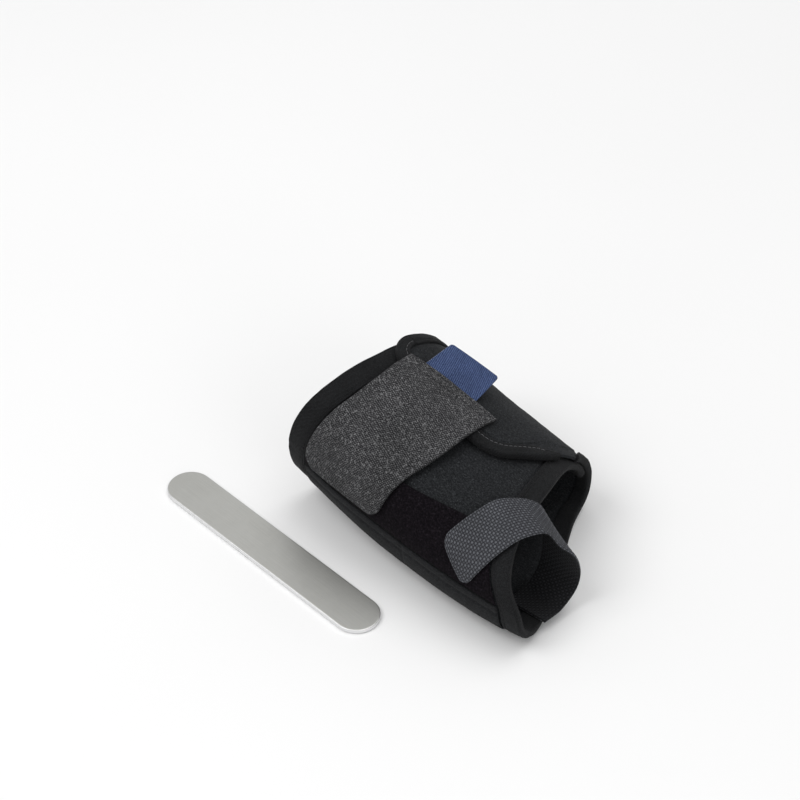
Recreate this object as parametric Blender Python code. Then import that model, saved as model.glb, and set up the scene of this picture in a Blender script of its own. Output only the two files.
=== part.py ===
"""Bunion corrector: a forefoot wrap with an instep strap, a toe strap and a flat metal stay.

The wrap is one strip of neoprene. It goes once round the forefoot and laps over itself on top.
Its shape is a row of cross-sections. A place on it has two coordinates: along, in metres from
the rest face's centre towards the toes, and turn, which goes 0 at the top ridge, 1 at the inner
side, 2 under the sole, 3 at the outer side and 4 back at the ridge. A height is the distance
outwards from the wrap's inner face. Every piece is laid on that form.
"""

import math

import bmesh
import bpy
import numpy as np

# The wrap
WRAP_LENGTH = 0.135
WRAP_WIDTH = 0.084
WRAP_HEIGHT = 0.069
WRAP_THICKNESS = 0.0025
SEWN_THICKNESS = 0.0013
SOLE_FLATTENING = 0.0005
CLEARANCE = 0.0003

# The bindings
REAR_BINDING_WIDTH = 0.0110
FRONT_BINDING_WIDTH = 0.0095
FLAP_BINDING_WIDTH = 0.0060
BINDING_OUTER_LEG = 0.0011
BINDING_INNER_LEG = 0.0006
BINDING_FOLD = 0.0009
BINDING_ROUNDING = 0.0010
FLAP_CORNER_RADIUS = 0.0120
FLAP_TIP_BLUNTING = 0.0060

# The loop panel and the stay's pocket
LOOP_PANEL_THICKNESS = 0.0012
POCKET_THICKNESS = 0.0010

# The straps and the label
INSTEP_STRAP_WIDTH = 0.0430
INSTEP_STRAP_THICKNESS = 0.0020
INSTEP_STRAP_CORNER = 0.0060
TOE_STRAP_WIDTH = 0.0200
TOE_STRAP_THICKNESS = 0.0015
TOE_STRAP_CORNER = 0.0050
TOE_STRAP_ACROSS = (-1.0, -0.92, -0.5, 0.0, 0.5, 0.92, 1.0)
STRAP_EDGE_SHARE = 0.3
LABEL_LENGTH = 0.0253
LABEL_WIDTH = 0.0164
LABEL_THICKNESS = 0.0008
LABEL_TAPER = 0.09
LABEL_SHIFT = -0.0024
LABEL_TANGENT_TURN = 0.06
LABEL_LIFT = 0.36
LABEL_LIFT_GAIN = 0.14
LABEL_ROWS = 5
LABEL_ACROSS = 4

# The stay
STAY_LENGTH = 0.125
STAY_WIDTH = 0.0200
STAY_THICKNESS = 0.0020
STAY_EDGE = 0.0004
STAY_DISTANCE = 0.0671
STAY_BACK_SHARE = -0.375
STAY_ANGLE = math.radians(-3.6)
STAY_END_STEPS = 14

# Cross-sections of the inner face, from the ankle edge to the toe edge. Along is a share of
# the wrap's length, medial, lateral and ridge are shares of its width, and the heights are
# shares of its height. The last four columns are the powers of the four rounded quarters.
SECTION_COLUMNS = (
    "along", "medial", "lateral", "ridge", "top", "medial_height", "lateral_height",
    "top_medial_power", "sole_medial_power", "sole_lateral_power", "top_lateral_power",
)
SECTIONS = np.array((
    (-0.533, -0.440, 0.440, 0.024, 1.000, 0.536, 0.348, 2.1, 2.0, 3.0, 2.1),
    (-0.281, -0.470, 0.462, -0.012, 0.913, 0.435, 0.275, 2.1, 2.4, 3.0, 2.1),
    (-0.037, -0.494, 0.474, -0.071, 0.783, 0.348, 0.217, 2.1, 2.9, 3.0, 2.1),
    (0.222, -0.500, 0.474, -0.143, 0.638, 0.290, 0.188, 2.0, 3.0, 3.0, 2.0),
    (0.459, -0.476, 0.438, -0.179, 0.551, 0.261, 0.174, 2.0, 3.0, 3.0, 1.9),
    (0.622, -0.440, 0.367, -0.179, 0.507, 0.246, 0.159, 2.0, 2.8, 2.8, 1.9),
))

# Where the two edges of the wrap lie: turn, rear edge and front edge as shares of the length
EDGE_COLUMNS = ("turn", "rear", "front")
EDGES = np.array((
    (0.00, -0.368, 0.337),
    (0.35, -0.406, 0.374),
    (0.65, -0.449, 0.413),
    (1.00, -0.480, 0.480),
    (1.35, -0.482, 0.484),
    (2.00, -0.448, 0.385),
    (3.00, -0.368, 0.237),
    (3.40, -0.357, 0.254),
    (3.72, -0.358, 0.302),
))

# The free edge of the flap: share of the way from the rear edge to the front edge, and turn
FLAP_EDGE_COLUMNS = ("share", "turn")
FLAP_EDGE = np.array((
    (0.000, 3.98),
    (0.300, 3.99),
    (0.560, 3.98),
    (0.680, 3.92),
    (0.742, 3.85),
    (0.800, 3.75),
    (0.886, 3.61),
    (0.943, 3.50),
    (1.000, 3.43),
))

# The strip starts under the flap. The flap rises over it between the two lap turns.
HIDDEN_END_TURN = -0.90
LAP_START_TURN = 2.62
LAP_END_TURN = 3.06
FLAP_START_TURN = 3.15
SOLE_RISE_REACH = 0.018

# The bindings narrow to the flap's width from the first turn on, over so many turns
NARROWING_START_TURN = 2.4
NARROWING_TURNS = 0.6

# The mitre's angle is measured at this share of the way along the flap's free edge
MITRE_SHARE = 0.93

# Sampling
SECTION_STATIONS = 61
QUARTER_STATIONS = 24
ROWS_PER_TURN = 13
FLAP_ROWS = 9
BODY_COLUMNS = 9
CORNER_STEPS = 5
TIP_ROWS = 4
LENGTH_SAMPLES = 25
PANEL_ROWS = 14
PANEL_COLUMNS = 10
POCKET_COLUMNS = 5
STRAP_ROWS = 19
STRAP_ACROSS = (-1.0, -0.96, -0.5, 0.0, 0.5, 0.96, 1.0)
STRAP_CORNER_SHARES = (0.4, 0.7, 0.9, 1.0)
TOE_END_STEPS = (0.0, 0.06, 0.16, 0.3)
TOE_LAID_ROWS = 10
TOE_FREE_ROWS = 20

# Turns that depend on a place are found in rounds, from a first guess
ROUNDS = 30
FLAP_GUESS = 3.8
PANEL_GUESS = 0.75
SLOPE_STEP = WRAP_LENGTH / 270

# Loop panel: share of the length, upper edge turn and lower edge turn
LOOP_PANEL_COLUMNS = ("along", "upper", "lower")
LOOP_PANEL = np.array((
    (-0.430, 0.64, 1.03),
    (-0.250, 0.59, 1.02),
    (-0.020, 0.56, 0.98),
    (0.240, 0.38, 0.95),
    (0.440, 0.27, 0.95),
))

# The pocket band: its gap below the loop panel and its width, in turns
POCKET_GAP_TURN = 0.02
POCKET_TURNS = 0.42

# Instep strap: turn, centre line as a share of the length, and the height that it runs at,
# from 0 on the inner panel to 1 over the bound edge of the flap
INSTEP_SEWN_TURN = -0.17
INSTEP_FREE_TURN = 0.95
INSTEP_SEWN_SLANT = 0.16
INSTEP_FREE_SLANT = 0.06
INSTEP_STRAP_COLUMNS = ("turn", "along", "rise")
INSTEP_STRAP = np.array((
    (-0.42, -0.124, 0.78),
    (-0.22, -0.125, 0.78),
    (-0.18, -0.125, 0.84),
    (-0.14, -0.126, 0.99),
    (-0.10, -0.126, 1.00),
    (0.02, -0.128, 1.00),
    (0.15, -0.132, 0.70),
    (0.27, -0.143, 0.33),
    (0.39, -0.158, 0.09),
    (0.50, -0.177, 0.00),
    (0.68, -0.203, 0.00),
    (0.84, -0.219, 0.00),
    (1.00, -0.222, 0.00),
))

# Toe strap where it lies on the wrap, from its free end: along as a share of the length and
# turn, for the edge towards the ankle and the edge towards the toes
TOE_STRAP_LAID_COLUMNS = ("rear_along", "rear_turn", "front_along", "front_turn")
TOE_STRAP_LAID = np.array((
    (0.170, 0.70, 0.286, 0.93),
    (0.192, 0.51, 0.320, 0.69),
    (0.218, 0.34, 0.343, 0.46),
    (0.242, 0.15, 0.366, 0.24),
    (0.272, 0.01, 0.404, 0.05),
))

# Toe strap where it is free: its centre line as shares of the length, the width and the
# height above the sole, and its width's direction as a yaw and a slope in degrees
TOE_STRAP_FREE_COLUMNS = ("along", "across", "up", "yaw", "slope")
TOE_STRAP_FREE = np.array((
    (0.390, -0.124, 0.530, -17.0, -31.0),
    (0.412, -0.083, 0.420, -8.0, -22.0),
    (0.417, -0.067, 0.285, 0.0, -11.0),
    (0.417, -0.067, 0.161, 4.0, -4.0),
    (0.413, -0.097, 0.060, 5.0, 0.0),
))

# Toe strap where it is sewn inside, on the sole: centre line's place along and its turn
TOE_STRAP_SEWN_COLUMNS = ("along", "turn")
TOE_STRAP_SEWN = np.array((
    (0.411, 1.72),
    (0.410, 1.60),
    (0.411, 1.50),
))


def remove_all():
    for thing in list(bpy.data.objects):
        bpy.data.objects.remove(thing)


def material(name, colour, roughness, metallic=0.0):
    made = bpy.data.materials.new(name)
    made.use_nodes = True
    shader = made.node_tree.nodes["Principled BSDF"]
    shader.inputs["Base Color"].default_value = (*colour, 1.0)
    shader.inputs["Roughness"].default_value = roughness
    shader.inputs["Metallic"].default_value = metallic
    return made


def add_object(name, bm, finish, smooth_angle=40.0):
    """Turn a bmesh into a named object with its material and smooth shading."""
    bmesh.ops.recalc_face_normals(bm, faces=bm.faces)
    mesh = bpy.data.meshes.new(name)
    bm.to_mesh(mesh)
    bm.free()
    mesh.materials.append(finish)
    mesh.shade_smooth()
    mesh.set_sharp_from_angle(angle=math.radians(smooth_angle))
    thing = bpy.data.objects.new(name, mesh)
    bpy.context.scene.collection.objects.link(thing)
    return thing


def curve_value(xs, ys, x):
    """A smooth curve through a short table, with its slopes taken from the neighbours."""
    slopes = np.gradient(ys, xs)
    span = int(np.clip(np.searchsorted(xs, x) - 1, 0, len(xs) - 2))
    width = xs[span + 1] - xs[span]
    t = (x - xs[span]) / width
    start = (2 * t ** 3 - 3 * t ** 2 + 1) * ys[span]
    start += (t ** 3 - 2 * t ** 2 + t) * width * slopes[span]
    end = (3 * t ** 2 - 2 * t ** 3) * ys[span + 1]
    end += (t ** 3 - t ** 2) * width * slopes[span + 1]
    return start + end


def table_value(table, columns, name, x):
    """One named column of a table, at x in the table's first column."""
    return curve_value(table[:, 0], table[:, columns.index(name)], x)


def smooth_step(x):
    t = min(max(x, 0.0), 1.0)
    return t * t * (3.0 - 2.0 * t)


def edge_share(name, turn):
    """The rear or front edge at a turn. The table repeats after four quarter turns."""
    column = EDGES[:, EDGE_COLUMNS.index(name)]
    turns = EDGES[:, 0]
    turns = np.concatenate((turns[-2:] - 4.0, turns, turns[:2] + 4.0))
    column = np.concatenate((column[-2:], column, column[:2]))
    return curve_value(turns, column, turn % 4.0)


def rear_edge(turn):
    return edge_share("rear", turn) * WRAP_LENGTH


def front_edge(turn):
    return edge_share("front", turn) * WRAP_LENGTH


def binding_width(full, turn):
    """The bindings are wide round the strip and narrow on the flap."""
    narrowing = smooth_step((turn - NARROWING_START_TURN) / NARROWING_TURNS)
    return full + (FLAP_BINDING_WIDTH - full) * narrowing


# Heights above the inner face
SEWN_INNER = BINDING_INNER_LEG
SEWN_OUTER = SEWN_INNER + SEWN_THICKNESS
INNER_LEG_TOP = SEWN_INNER - CLEARANCE
INNER_LEG_FACE = INNER_LEG_TOP - BINDING_INNER_LEG
OUTER_LEG_BASE = SEWN_OUTER + CLEARANCE
OUTER_LEG_FACE = OUTER_LEG_BASE + BINDING_OUTER_LEG
LAP_RISE = OUTER_LEG_FACE - INNER_LEG_FACE + CLEARANCE
SOLE_RISE = OUTER_LEG_FACE - WRAP_THICKNESS + CLEARANCE
PANEL_BASE = WRAP_THICKNESS + CLEARANCE
LAID_BASE = PANEL_BASE + LOOP_PANEL_THICKNESS + CLEARANCE
FLAP_TOP = LAP_RISE + WRAP_THICKNESS
STRAP_TOP_BASE = LAP_RISE + OUTER_LEG_FACE + CLEARANCE
SEWN_EDGE_INSET = BINDING_FOLD + CLEARANCE
SOLE_STRAP_UP = WRAP_THICKNESS + SOLE_RISE - INNER_LEG_FACE + CLEARANCE + TOE_STRAP_THICKNESS


def quarter(start, end, power, stations):
    """Points of one rounded quarter between two of a section's four marks, evenly spaced."""
    angles = np.linspace(0.0, math.pi / 2, stations)
    across = start[0] + (end[0] - start[0]) * np.sin(angles) ** (2.0 / power)
    up = end[1] + (start[1] - end[1]) * np.cos(angles) ** (2.0 / power)
    steps = np.hypot(np.diff(across), np.diff(up))
    run = np.concatenate(((0.0,), np.cumsum(steps)))
    even = np.linspace(0.0, run[-1], stations)
    return np.interp(even, run, across), np.interp(even, run, up)


def quarter_back(start, end, power, stations):
    """A rounded quarter that ends where the form is level, at the sole or the top."""
    across, up = quarter(end, start, power, stations)
    return across[::-1], up[::-1]


def section_ring(along):
    """The inner face's cross-section at a place along the wrap."""
    share = along / WRAP_LENGTH
    row = {name: table_value(SECTIONS, SECTION_COLUMNS, name, share) for name in SECTION_COLUMNS[1:]}
    medial = row["medial"] * WRAP_WIDTH
    lateral = row["lateral"] * WRAP_WIDTH
    ridge = row["ridge"] * WRAP_WIDTH
    middle = 0.5 * (medial + lateral)
    top = (ridge, row["top"] * WRAP_HEIGHT)
    inner_side = (medial, row["medial_height"] * WRAP_HEIGHT)
    sole = (middle, 0.0)
    outer_side = (lateral, row["lateral_height"] * WRAP_HEIGHT)
    stations = QUARTER_STATIONS + 1
    quarters = (
        quarter(top, inner_side, row["top_medial_power"], stations),
        quarter_back(inner_side, sole, row["sole_medial_power"], stations),
        quarter(sole, outer_side, row["sole_lateral_power"], stations),
        quarter_back(outer_side, top, row["top_lateral_power"], stations),
    )
    across = np.concatenate([part[0][:-1] for part in quarters] + [quarters[0][0][:1]])
    up = np.concatenate([part[1][:-1] for part in quarters] + [quarters[0][1][:1]])
    up = np.maximum(up - SOLE_FLATTENING, 0.0)
    return across, up


class Form:
    """The inner face of the wrap, sampled once, with its outward directions."""

    def __init__(self):
        first = SECTIONS[0, 0] * WRAP_LENGTH
        last = SECTIONS[-1, 0] * WRAP_LENGTH
        self.along = np.linspace(first, last, SECTION_STATIONS)
        self.turns = np.linspace(0.0, 4.0, 4 * QUARTER_STATIONS + 1)
        self.points = np.zeros((len(self.along), len(self.turns), 3))
        for index, along in enumerate(self.along):
            across, up = section_ring(along)
            self.points[index, :, 0] = along
            self.points[index, :, 1] = across
            self.points[index, :, 2] = up + WRAP_THICKNESS
        self.raise_sole_edges()
        self.normals = self.outward()

    def raise_sole_edges(self):
        """The sole bows down to the floor between its two thicker bound edges."""
        for j, turn in enumerate(self.turns):
            weight = smooth_step((turn - 1.0) / 0.5) * smooth_step((3.0 - turn) / 0.5)
            rear = rear_edge(turn) + binding_width(REAR_BINDING_WIDTH, turn)
            front = front_edge(turn) - binding_width(FRONT_BINDING_WIDTH, turn)
            for i, along in enumerate(self.along):
                distance = min(along - rear, front - along)
                rise = SOLE_RISE * (1.0 - smooth_step(distance / SOLE_RISE_REACH))
                self.points[i, j, 2] += weight * rise

    def outward(self):
        points = self.points
        wrapped = np.concatenate((points[:, -2:-1], points, points[:, 1:2]), axis=1)
        around = wrapped[:, 2:] - wrapped[:, :-2]
        forward = np.gradient(points, axis=0)
        normals = np.cross(around, forward)
        return normals / np.linalg.norm(normals, axis=2, keepdims=True)

    def blend(self, grid, along, turn):
        row = (along - self.along[0]) / (self.along[1] - self.along[0])
        row = min(max(row, 0.0), len(self.along) - 1.001)
        column = (turn % 4.0) * QUARTER_STATIONS
        i, j = int(row), min(int(column), len(self.turns) - 2)
        a, b = row - i, column - j
        low = grid[i, j] * (1 - b) + grid[i, j + 1] * b
        high = grid[i + 1, j] * (1 - b) + grid[i + 1, j + 1] * b
        return low * (1 - a) + high * a

    def at(self, along, turn, height):
        """A point at a height above the inner face. Turns below 0 lie under the flap."""
        point = self.blend(self.points, along, turn)
        point[0] = along
        normal = self.blend(self.normals, along, turn)
        normal /= np.linalg.norm(normal)
        return point + normal * (height + lap_height(turn))

    def turn_length(self, along, start, end):
        """How far it is round the inner face from one turn to another."""
        turns = np.linspace(start, end, LENGTH_SAMPLES)
        points = np.array([self.blend(self.points, along, turn) for turn in turns])
        return float(np.sum(np.linalg.norm(np.diff(points, axis=0), axis=1)))


def lap_height(turn):
    """How much higher the strip lies once it laps over its own start."""
    return LAP_RISE * smooth_step((turn - LAP_START_TURN) / (LAP_END_TURN - LAP_START_TURN))


def flap_turn_at(along, turn):
    """The turn of the flap's free edge, at a place given by its distance along."""
    rear, front = rear_edge(turn), front_edge(turn)
    share = min(max((along - rear) / (front - rear), 0.0), 1.0)
    return table_value(FLAP_EDGE, FLAP_EDGE_COLUMNS, "turn", share)


def solve_flap_turn(along):
    """The free edge's turn depends on the two edges there, so it is found in a few rounds."""
    turn = FLAP_GUESS
    for _ in range(ROUNDS):
        turn += 0.5 * (flap_turn_at(along, turn) - turn)
    return turn


def slab(name, inner, outer, finish):
    """A closed slab between two grids of points with the same rows and columns."""
    rows, columns = len(inner), len(inner[0])
    bm = bmesh.new()
    low = [[bm.verts.new(point) for point in row] for row in inner]
    high = [[bm.verts.new(point) for point in row] for row in outer]
    for i in range(rows - 1):
        for j in range(columns - 1):
            bm.faces.new((low[i][j], low[i][j + 1], low[i + 1][j + 1], low[i + 1][j]))
            bm.faces.new((high[i][j], high[i + 1][j], high[i + 1][j + 1], high[i][j + 1]))
    for i in range(rows - 1):
        for j in (0, columns - 1):
            bm.faces.new((low[i][j], low[i + 1][j], high[i + 1][j], high[i][j]))
    for j in range(columns - 1):
        for i in (0, rows - 1):
            bm.faces.new((low[i][j], high[i][j], high[i][j + 1], low[i][j + 1]))
    return add_object(name, bm, finish)


def body_turns():
    """Row turns round the strip, from its hidden end to where the flap's rows begin."""
    count = round((FLAP_START_TURN - HIDDEN_END_TURN) * ROWS_PER_TURN)
    return np.linspace(HIDDEN_END_TURN, FLAP_START_TURN, count + 1)


class FlapOutline:
    """The free edge of the flap on the unrolled form, in metres along and metres round."""

    def __init__(self, form):
        self.form = form
        middle = 0.5 * (rear_edge(3.5) + front_edge(3.5))
        self.metres_per_turn = form.turn_length(middle, 3.0, 4.0)
        self.corner_turn = table_value(FLAP_EDGE, FLAP_EDGE_COLUMNS, "turn", 0.0)
        self.corner_start = self.corner_turn - FLAP_CORNER_RADIUS / self.metres_per_turn

    def edge_slope(self, along):
        """The unit inward direction from the free edge, along and round."""
        ahead = solve_flap_turn(along + SLOPE_STEP)
        behind = solve_flap_turn(along - SLOPE_STEP)
        slope = (ahead - behind) * self.metres_per_turn / (2 * SLOPE_STEP)
        length = math.hypot(1.0, slope)
        return slope / length, -1.0 / length

    def corner_drop(self, distance, inset):
        """How far the rounded rear corner holds the edge back, at a distance from the rear."""
        radius = FLAP_CORNER_RADIUS - inset
        offset = FLAP_CORNER_RADIUS - distance
        if offset <= 0.0:
            return inset
        if offset >= radius:
            return FLAP_CORNER_RADIUS + offset - radius
        return FLAP_CORNER_RADIUS - math.sqrt(radius ** 2 - offset ** 2)


def wrap_columns():
    """The wrap's columns: distances from each edge, and shares of the width between them."""
    shares = np.linspace(0.0, 1.0, BODY_COLUMNS)
    rear = [("rear", 0.0), ("rear", 0.5), ("rear", 1.0)]
    front = [("front", 1.0), ("front", 0.0)]
    return rear + [("share", share) for share in shares] + front


def column_along(kind, value, turn):
    """Where a column of the wrap runs at a turn, and whether its cloth is sewn thin there."""
    rear, front = rear_edge(turn), front_edge(turn)
    rear_width = binding_width(REAR_BINDING_WIDTH, turn) + CLEARANCE
    front_width = binding_width(FRONT_BINDING_WIDTH, turn) + CLEARANCE
    ditch = 2 * (WRAP_THICKNESS - SEWN_OUTER)
    if kind == "rear":
        return rear + SEWN_EDGE_INSET + value * (rear_width - SEWN_EDGE_INSET), True
    if kind == "front":
        return front - SEWN_EDGE_INSET - value * (front_width - SEWN_EDGE_INSET), True
    start = rear + rear_width + ditch
    end = front - front_width - ditch
    return start + value * (end - start), False


def flap_end_turn(outline, kind, value, inset):
    """The turn at which a column ends, at an inset from the flap's free edge."""
    turn = FLAP_GUESS
    for _ in range(ROUNDS):
        along, _ = column_along(kind, value, turn)
        distance = along - rear_edge(turn)
        if kind == "rear" or distance < FLAP_CORNER_RADIUS:
            drop = outline.corner_drop(distance, inset)
            target = outline.corner_turn - drop / outline.metres_per_turn
        else:
            _, inward = outline.edge_slope(along)
            drop = inset / abs(inward) / outline.metres_per_turn
            target = flap_turn_at(along, turn) - drop
        if kind == "front" and value == 0.0:
            target = min(target, blunt_tip_turn(outline))
        turn += 0.5 * (target - turn)
    return turn


def build_wrap(form, outline, finish):
    inner, outer = [], []
    columns = wrap_columns()
    sewn_width = FLAP_BINDING_WIDTH + CLEARANCE
    ditch = 2 * (WRAP_THICKNESS - SEWN_OUTER)
    insets = (
        sewn_width + ditch,
        sewn_width,
        0.5 * (sewn_width + SEWN_EDGE_INSET),
        SEWN_EDGE_INSET,
    )
    ends = [
        [flap_end_turn(outline, kind, value, inset) for kind, value in columns]
        for inset in insets
    ]
    rows = [([turn] * len(columns), False) for turn in body_turns()]
    for step in range(1, FLAP_ROWS + 1):
        share = step / FLAP_ROWS
        turns = [FLAP_START_TURN + share * (end - FLAP_START_TURN) for end in ends[0]]
        rows.append((turns, False))
    rows += [(turns, True) for turns in ends[1:]]
    for turns, sewn_row in rows:
        low, high = [], []
        for (kind, value), turn in zip(columns, turns):
            along, sewn_column = column_along(kind, value, turn)
            sewn = sewn_row or sewn_column
            low.append(form.at(along, turn, SEWN_INNER if sewn else 0.0))
            high.append(form.at(along, turn, SEWN_OUTER if sewn else WRAP_THICKNESS))
        inner.append(low)
        outer.append(high)
    return slab("wrap", inner, outer, finish)


def channel_section(width):
    """The folded tape: distance from the edge and height, round its outline."""
    round_off = BINDING_ROUNDING
    return (
        (0.0, SEWN_INNER - CLEARANCE),
        (0.0, SEWN_OUTER + CLEARANCE),
        (round_off, OUTER_LEG_FACE),
        (width - 0.5 * round_off, OUTER_LEG_FACE),
        (width, OUTER_LEG_FACE - 0.5 * round_off),
        (width, OUTER_LEG_BASE),
        (BINDING_FOLD, OUTER_LEG_BASE),
        (BINDING_FOLD, INNER_LEG_TOP),
        (width, INNER_LEG_TOP),
        (width, INNER_LEG_FACE),
        (BINDING_FOLD, INNER_LEG_FACE),
    )


CHANNEL_CAPS = ((1, 2, 3, 4, 5, 6), (0, 1, 6, 7), (0, 7, 8, 9, 10))


def tape(name, form, stations, metres_per_turn, finish):
    """Sweep the folded tape along stations: along, turn, inward along, inward round, width."""
    bm = bmesh.new()
    rings = []
    for along, turn, inward_along, inward_round, width in stations:
        ring = []
        for distance, height in channel_section(width):
            place = along + inward_along * distance
            where = turn + inward_round * distance / metres_per_turn
            ring.append(bm.verts.new(form.at(place, where, height)))
        rings.append(ring)
    count = len(rings[0])
    for first, second in zip(rings, rings[1:]):
        for k in range(count):
            after = (k + 1) % count
            bm.faces.new((first[k], first[after], second[after], second[k]))
    for cap in CHANNEL_CAPS:
        bm.faces.new([rings[0][k] for k in cap])
        bm.faces.new([rings[-1][k] for k in reversed(cap)])
    return add_object(name, bm, finish)


def build_rear_binding(form, outline, finish):
    turns = list(body_turns())
    end = outline.corner_start - CLEARANCE / outline.metres_per_turn
    turns += list(np.linspace(FLAP_START_TURN, end, FLAP_ROWS)[1:])
    stations = []
    for turn in turns:
        width = binding_width(REAR_BINDING_WIDTH, turn)
        stations.append((rear_edge(turn), turn, 1.0, 0.0, width))
    return tape("rear_binding", form, stations, outline.metres_per_turn, finish)


def tip_turn():
    return table_value(FLAP_EDGE, FLAP_EDGE_COLUMNS, "turn", 1.0)


def blunt_tip_turn(outline):
    return tip_turn() - FLAP_TIP_BLUNTING / outline.metres_per_turn


def build_front_binding(form, outline, finish):
    """The front tape narrows to a mitre where the flap's free edge meets it."""
    tip = tip_turn()
    turns = list(body_turns())
    turns += list(np.linspace(FLAP_START_TURN, blunt_tip_turn(outline), TIP_ROWS)[1:])
    mitre = mitre_slope(outline)
    stations = []
    for turn in turns:
        width = binding_width(FRONT_BINDING_WIDTH, turn)
        to_tip = max(tip - turn, 0.0) * outline.metres_per_turn
        width = min(width, to_tip * mitre - CLEARANCE)
        stations.append((front_edge(turn), turn, -1.0, 0.0, width))
    return tape("front_binding", form, stations, outline.metres_per_turn, finish)


def mitre_slope(outline):
    """The tangent of half the angle between the free edge and the front edge."""
    turn = table_value(FLAP_EDGE, FLAP_EDGE_COLUMNS, "turn", MITRE_SHARE)
    span = front_edge(turn) - rear_edge(turn)
    rise = (turn - tip_turn()) * outline.metres_per_turn
    angle = math.atan2((1.0 - MITRE_SHARE) * span, rise)
    return math.tan(0.5 * angle)


def build_flap_binding(form, outline, finish):
    width = FLAP_BINDING_WIDTH
    radius = FLAP_CORNER_RADIUS
    per_turn = outline.metres_per_turn
    stations = []
    for step in range(CORNER_STEPS + 1):
        angle = 0.5 * math.pi * step / CORNER_STEPS
        turn = outline.corner_start + radius * math.sin(angle) / per_turn
        along = rear_edge(turn) + radius * (1.0 - math.cos(angle))
        stations.append((along, turn, math.cos(angle), -math.sin(angle), width))
    tip_along = front_edge(tip_turn())
    mitre = mitre_slope(outline)
    for kind, value in wrap_columns():
        turn = flap_end_turn(outline, kind, value, 0.0)
        along, _ = column_along(kind, value, turn)
        past_corner = along - rear_edge(turn) > radius + 2 * CLEARANCE
        to_tip = math.hypot(tip_along - along, (turn - tip_turn()) * per_turn)
        if kind == "share" and past_corner and to_tip > FLAP_TIP_BLUNTING:
            inward_along, inward_round = outline.edge_slope(along)
            here = min(width, to_tip * mitre - CLEARANCE)
            stations.append((along, turn, inward_along, inward_round, here))
    return tape("flap_binding", form, stations, per_turn, finish)


def build_loop_panel(form, finish):
    """The loop panel lies between the two bindings, on the inner side."""
    inner, outer = [], []
    for i in range(PANEL_ROWS + 1):
        low, high = [], []
        for j in range(PANEL_COLUMNS + 1):
            place = panel_place(i / PANEL_ROWS, j / PANEL_COLUMNS)
            low.append(form.at(*place, PANEL_BASE))
            high.append(form.at(*place, PANEL_BASE + LOOP_PANEL_THICKNESS))
        inner.append(low)
        outer.append(high)
    return slab("loop_panel", inner, outer, finish)


def panel_ends(turn):
    margin = 2 * CLEARANCE
    rear = rear_edge(turn) + binding_width(REAR_BINDING_WIDTH, turn) + margin
    front = front_edge(turn) - binding_width(FRONT_BINDING_WIDTH, turn) - margin
    return rear, front


def panel_place(length_share, height_share):
    """A place on the loop panel: from its rear end to its front, and from top to bottom."""
    turn = PANEL_GUESS
    for _ in range(ROUNDS):
        rear, front = panel_ends(turn)
        along = rear + length_share * (front - rear)
        top = table_value(LOOP_PANEL, LOOP_PANEL_COLUMNS, "upper", along / WRAP_LENGTH)
        bottom = table_value(LOOP_PANEL, LOOP_PANEL_COLUMNS, "lower", along / WRAP_LENGTH)
        turn = top + height_share * (bottom - top)
    return along, turn


def build_stay_pocket(form, finish):
    """The folded band under the loop panel."""
    inner, outer = [], []
    for i in range(PANEL_ROWS + 1):
        low, high = [], []
        _, top = panel_place(i / PANEL_ROWS, 1.0)
        for j in range(POCKET_COLUMNS + 1):
            turn = top + POCKET_GAP_TURN + POCKET_TURNS * j / POCKET_COLUMNS
            rear, front = panel_ends(turn)
            along = rear + i / PANEL_ROWS * (front - rear)
            low.append(form.at(along, turn, PANEL_BASE))
            high.append(form.at(along, turn, PANEL_BASE + POCKET_THICKNESS))
        inner.append(low)
        outer.append(high)
    return slab("stay_pocket", inner, outer, finish)


def rounded_half_width(half_width, corner, distance):
    """The half width near an end with rounded corners."""
    if distance >= corner:
        return half_width
    return half_width - corner + math.sqrt(max(corner ** 2 - (corner - distance) ** 2, 0.0))


def build_instep_strap(form, finish):
    """The wide strap: sewn to the flap on top, laid down over the inner side."""
    middle = table_value(INSTEP_STRAP, INSTEP_STRAP_COLUMNS, "along", 0.5)
    per_turn = form.turn_length(middle * WRAP_LENGTH, 0.0, 1.0)
    corner_turn = INSTEP_STRAP_CORNER / per_turn
    turns = list(np.linspace(INSTEP_SEWN_TURN, INSTEP_FREE_TURN - corner_turn, STRAP_ROWS))
    for share in STRAP_CORNER_SHARES:
        turns.append(INSTEP_FREE_TURN - corner_turn * (1.0 - share))
    inner, outer = [], []
    for turn in turns:
        to_end = (INSTEP_FREE_TURN - turn) * per_turn
        half = rounded_half_width(0.5 * INSTEP_STRAP_WIDTH, INSTEP_STRAP_CORNER, to_end)
        low, high = [], []
        for side in STRAP_ACROSS:
            shrink = STRAP_EDGE_SHARE * INSTEP_STRAP_THICKNESS if abs(side) == 1.0 else 0.0
            place = instep_place(turn, side * half)
            base = instep_base(place[1])
            low.append(form.at(*place, base))
            high.append(form.at(*place, base + INSTEP_STRAP_THICKNESS - shrink))
        inner.append(low)
        outer.append(high)
    return slab("instep_strap", inner, outer, finish)


def instep_place(turn, offset):
    """A place under the wide strap, at an offset from its centre line towards the toes."""
    part = (turn - INSTEP_SEWN_TURN) / (INSTEP_FREE_TURN - INSTEP_SEWN_TURN)
    slant = INSTEP_SEWN_SLANT * (1.0 - part) + INSTEP_FREE_SLANT * part
    where = turn - offset / INSTEP_STRAP_WIDTH * slant
    centre = table_value(INSTEP_STRAP, INSTEP_STRAP_COLUMNS, "along", where)
    return centre * WRAP_LENGTH + offset, where


def instep_base(turn):
    """The height of the wide strap's underside."""
    rise = table_value(INSTEP_STRAP, INSTEP_STRAP_COLUMNS, "rise", turn)
    rise = min(max(rise, 0.0), 1.0)
    return LAID_BASE + rise * (STRAP_TOP_BASE - LAID_BASE)


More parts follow.
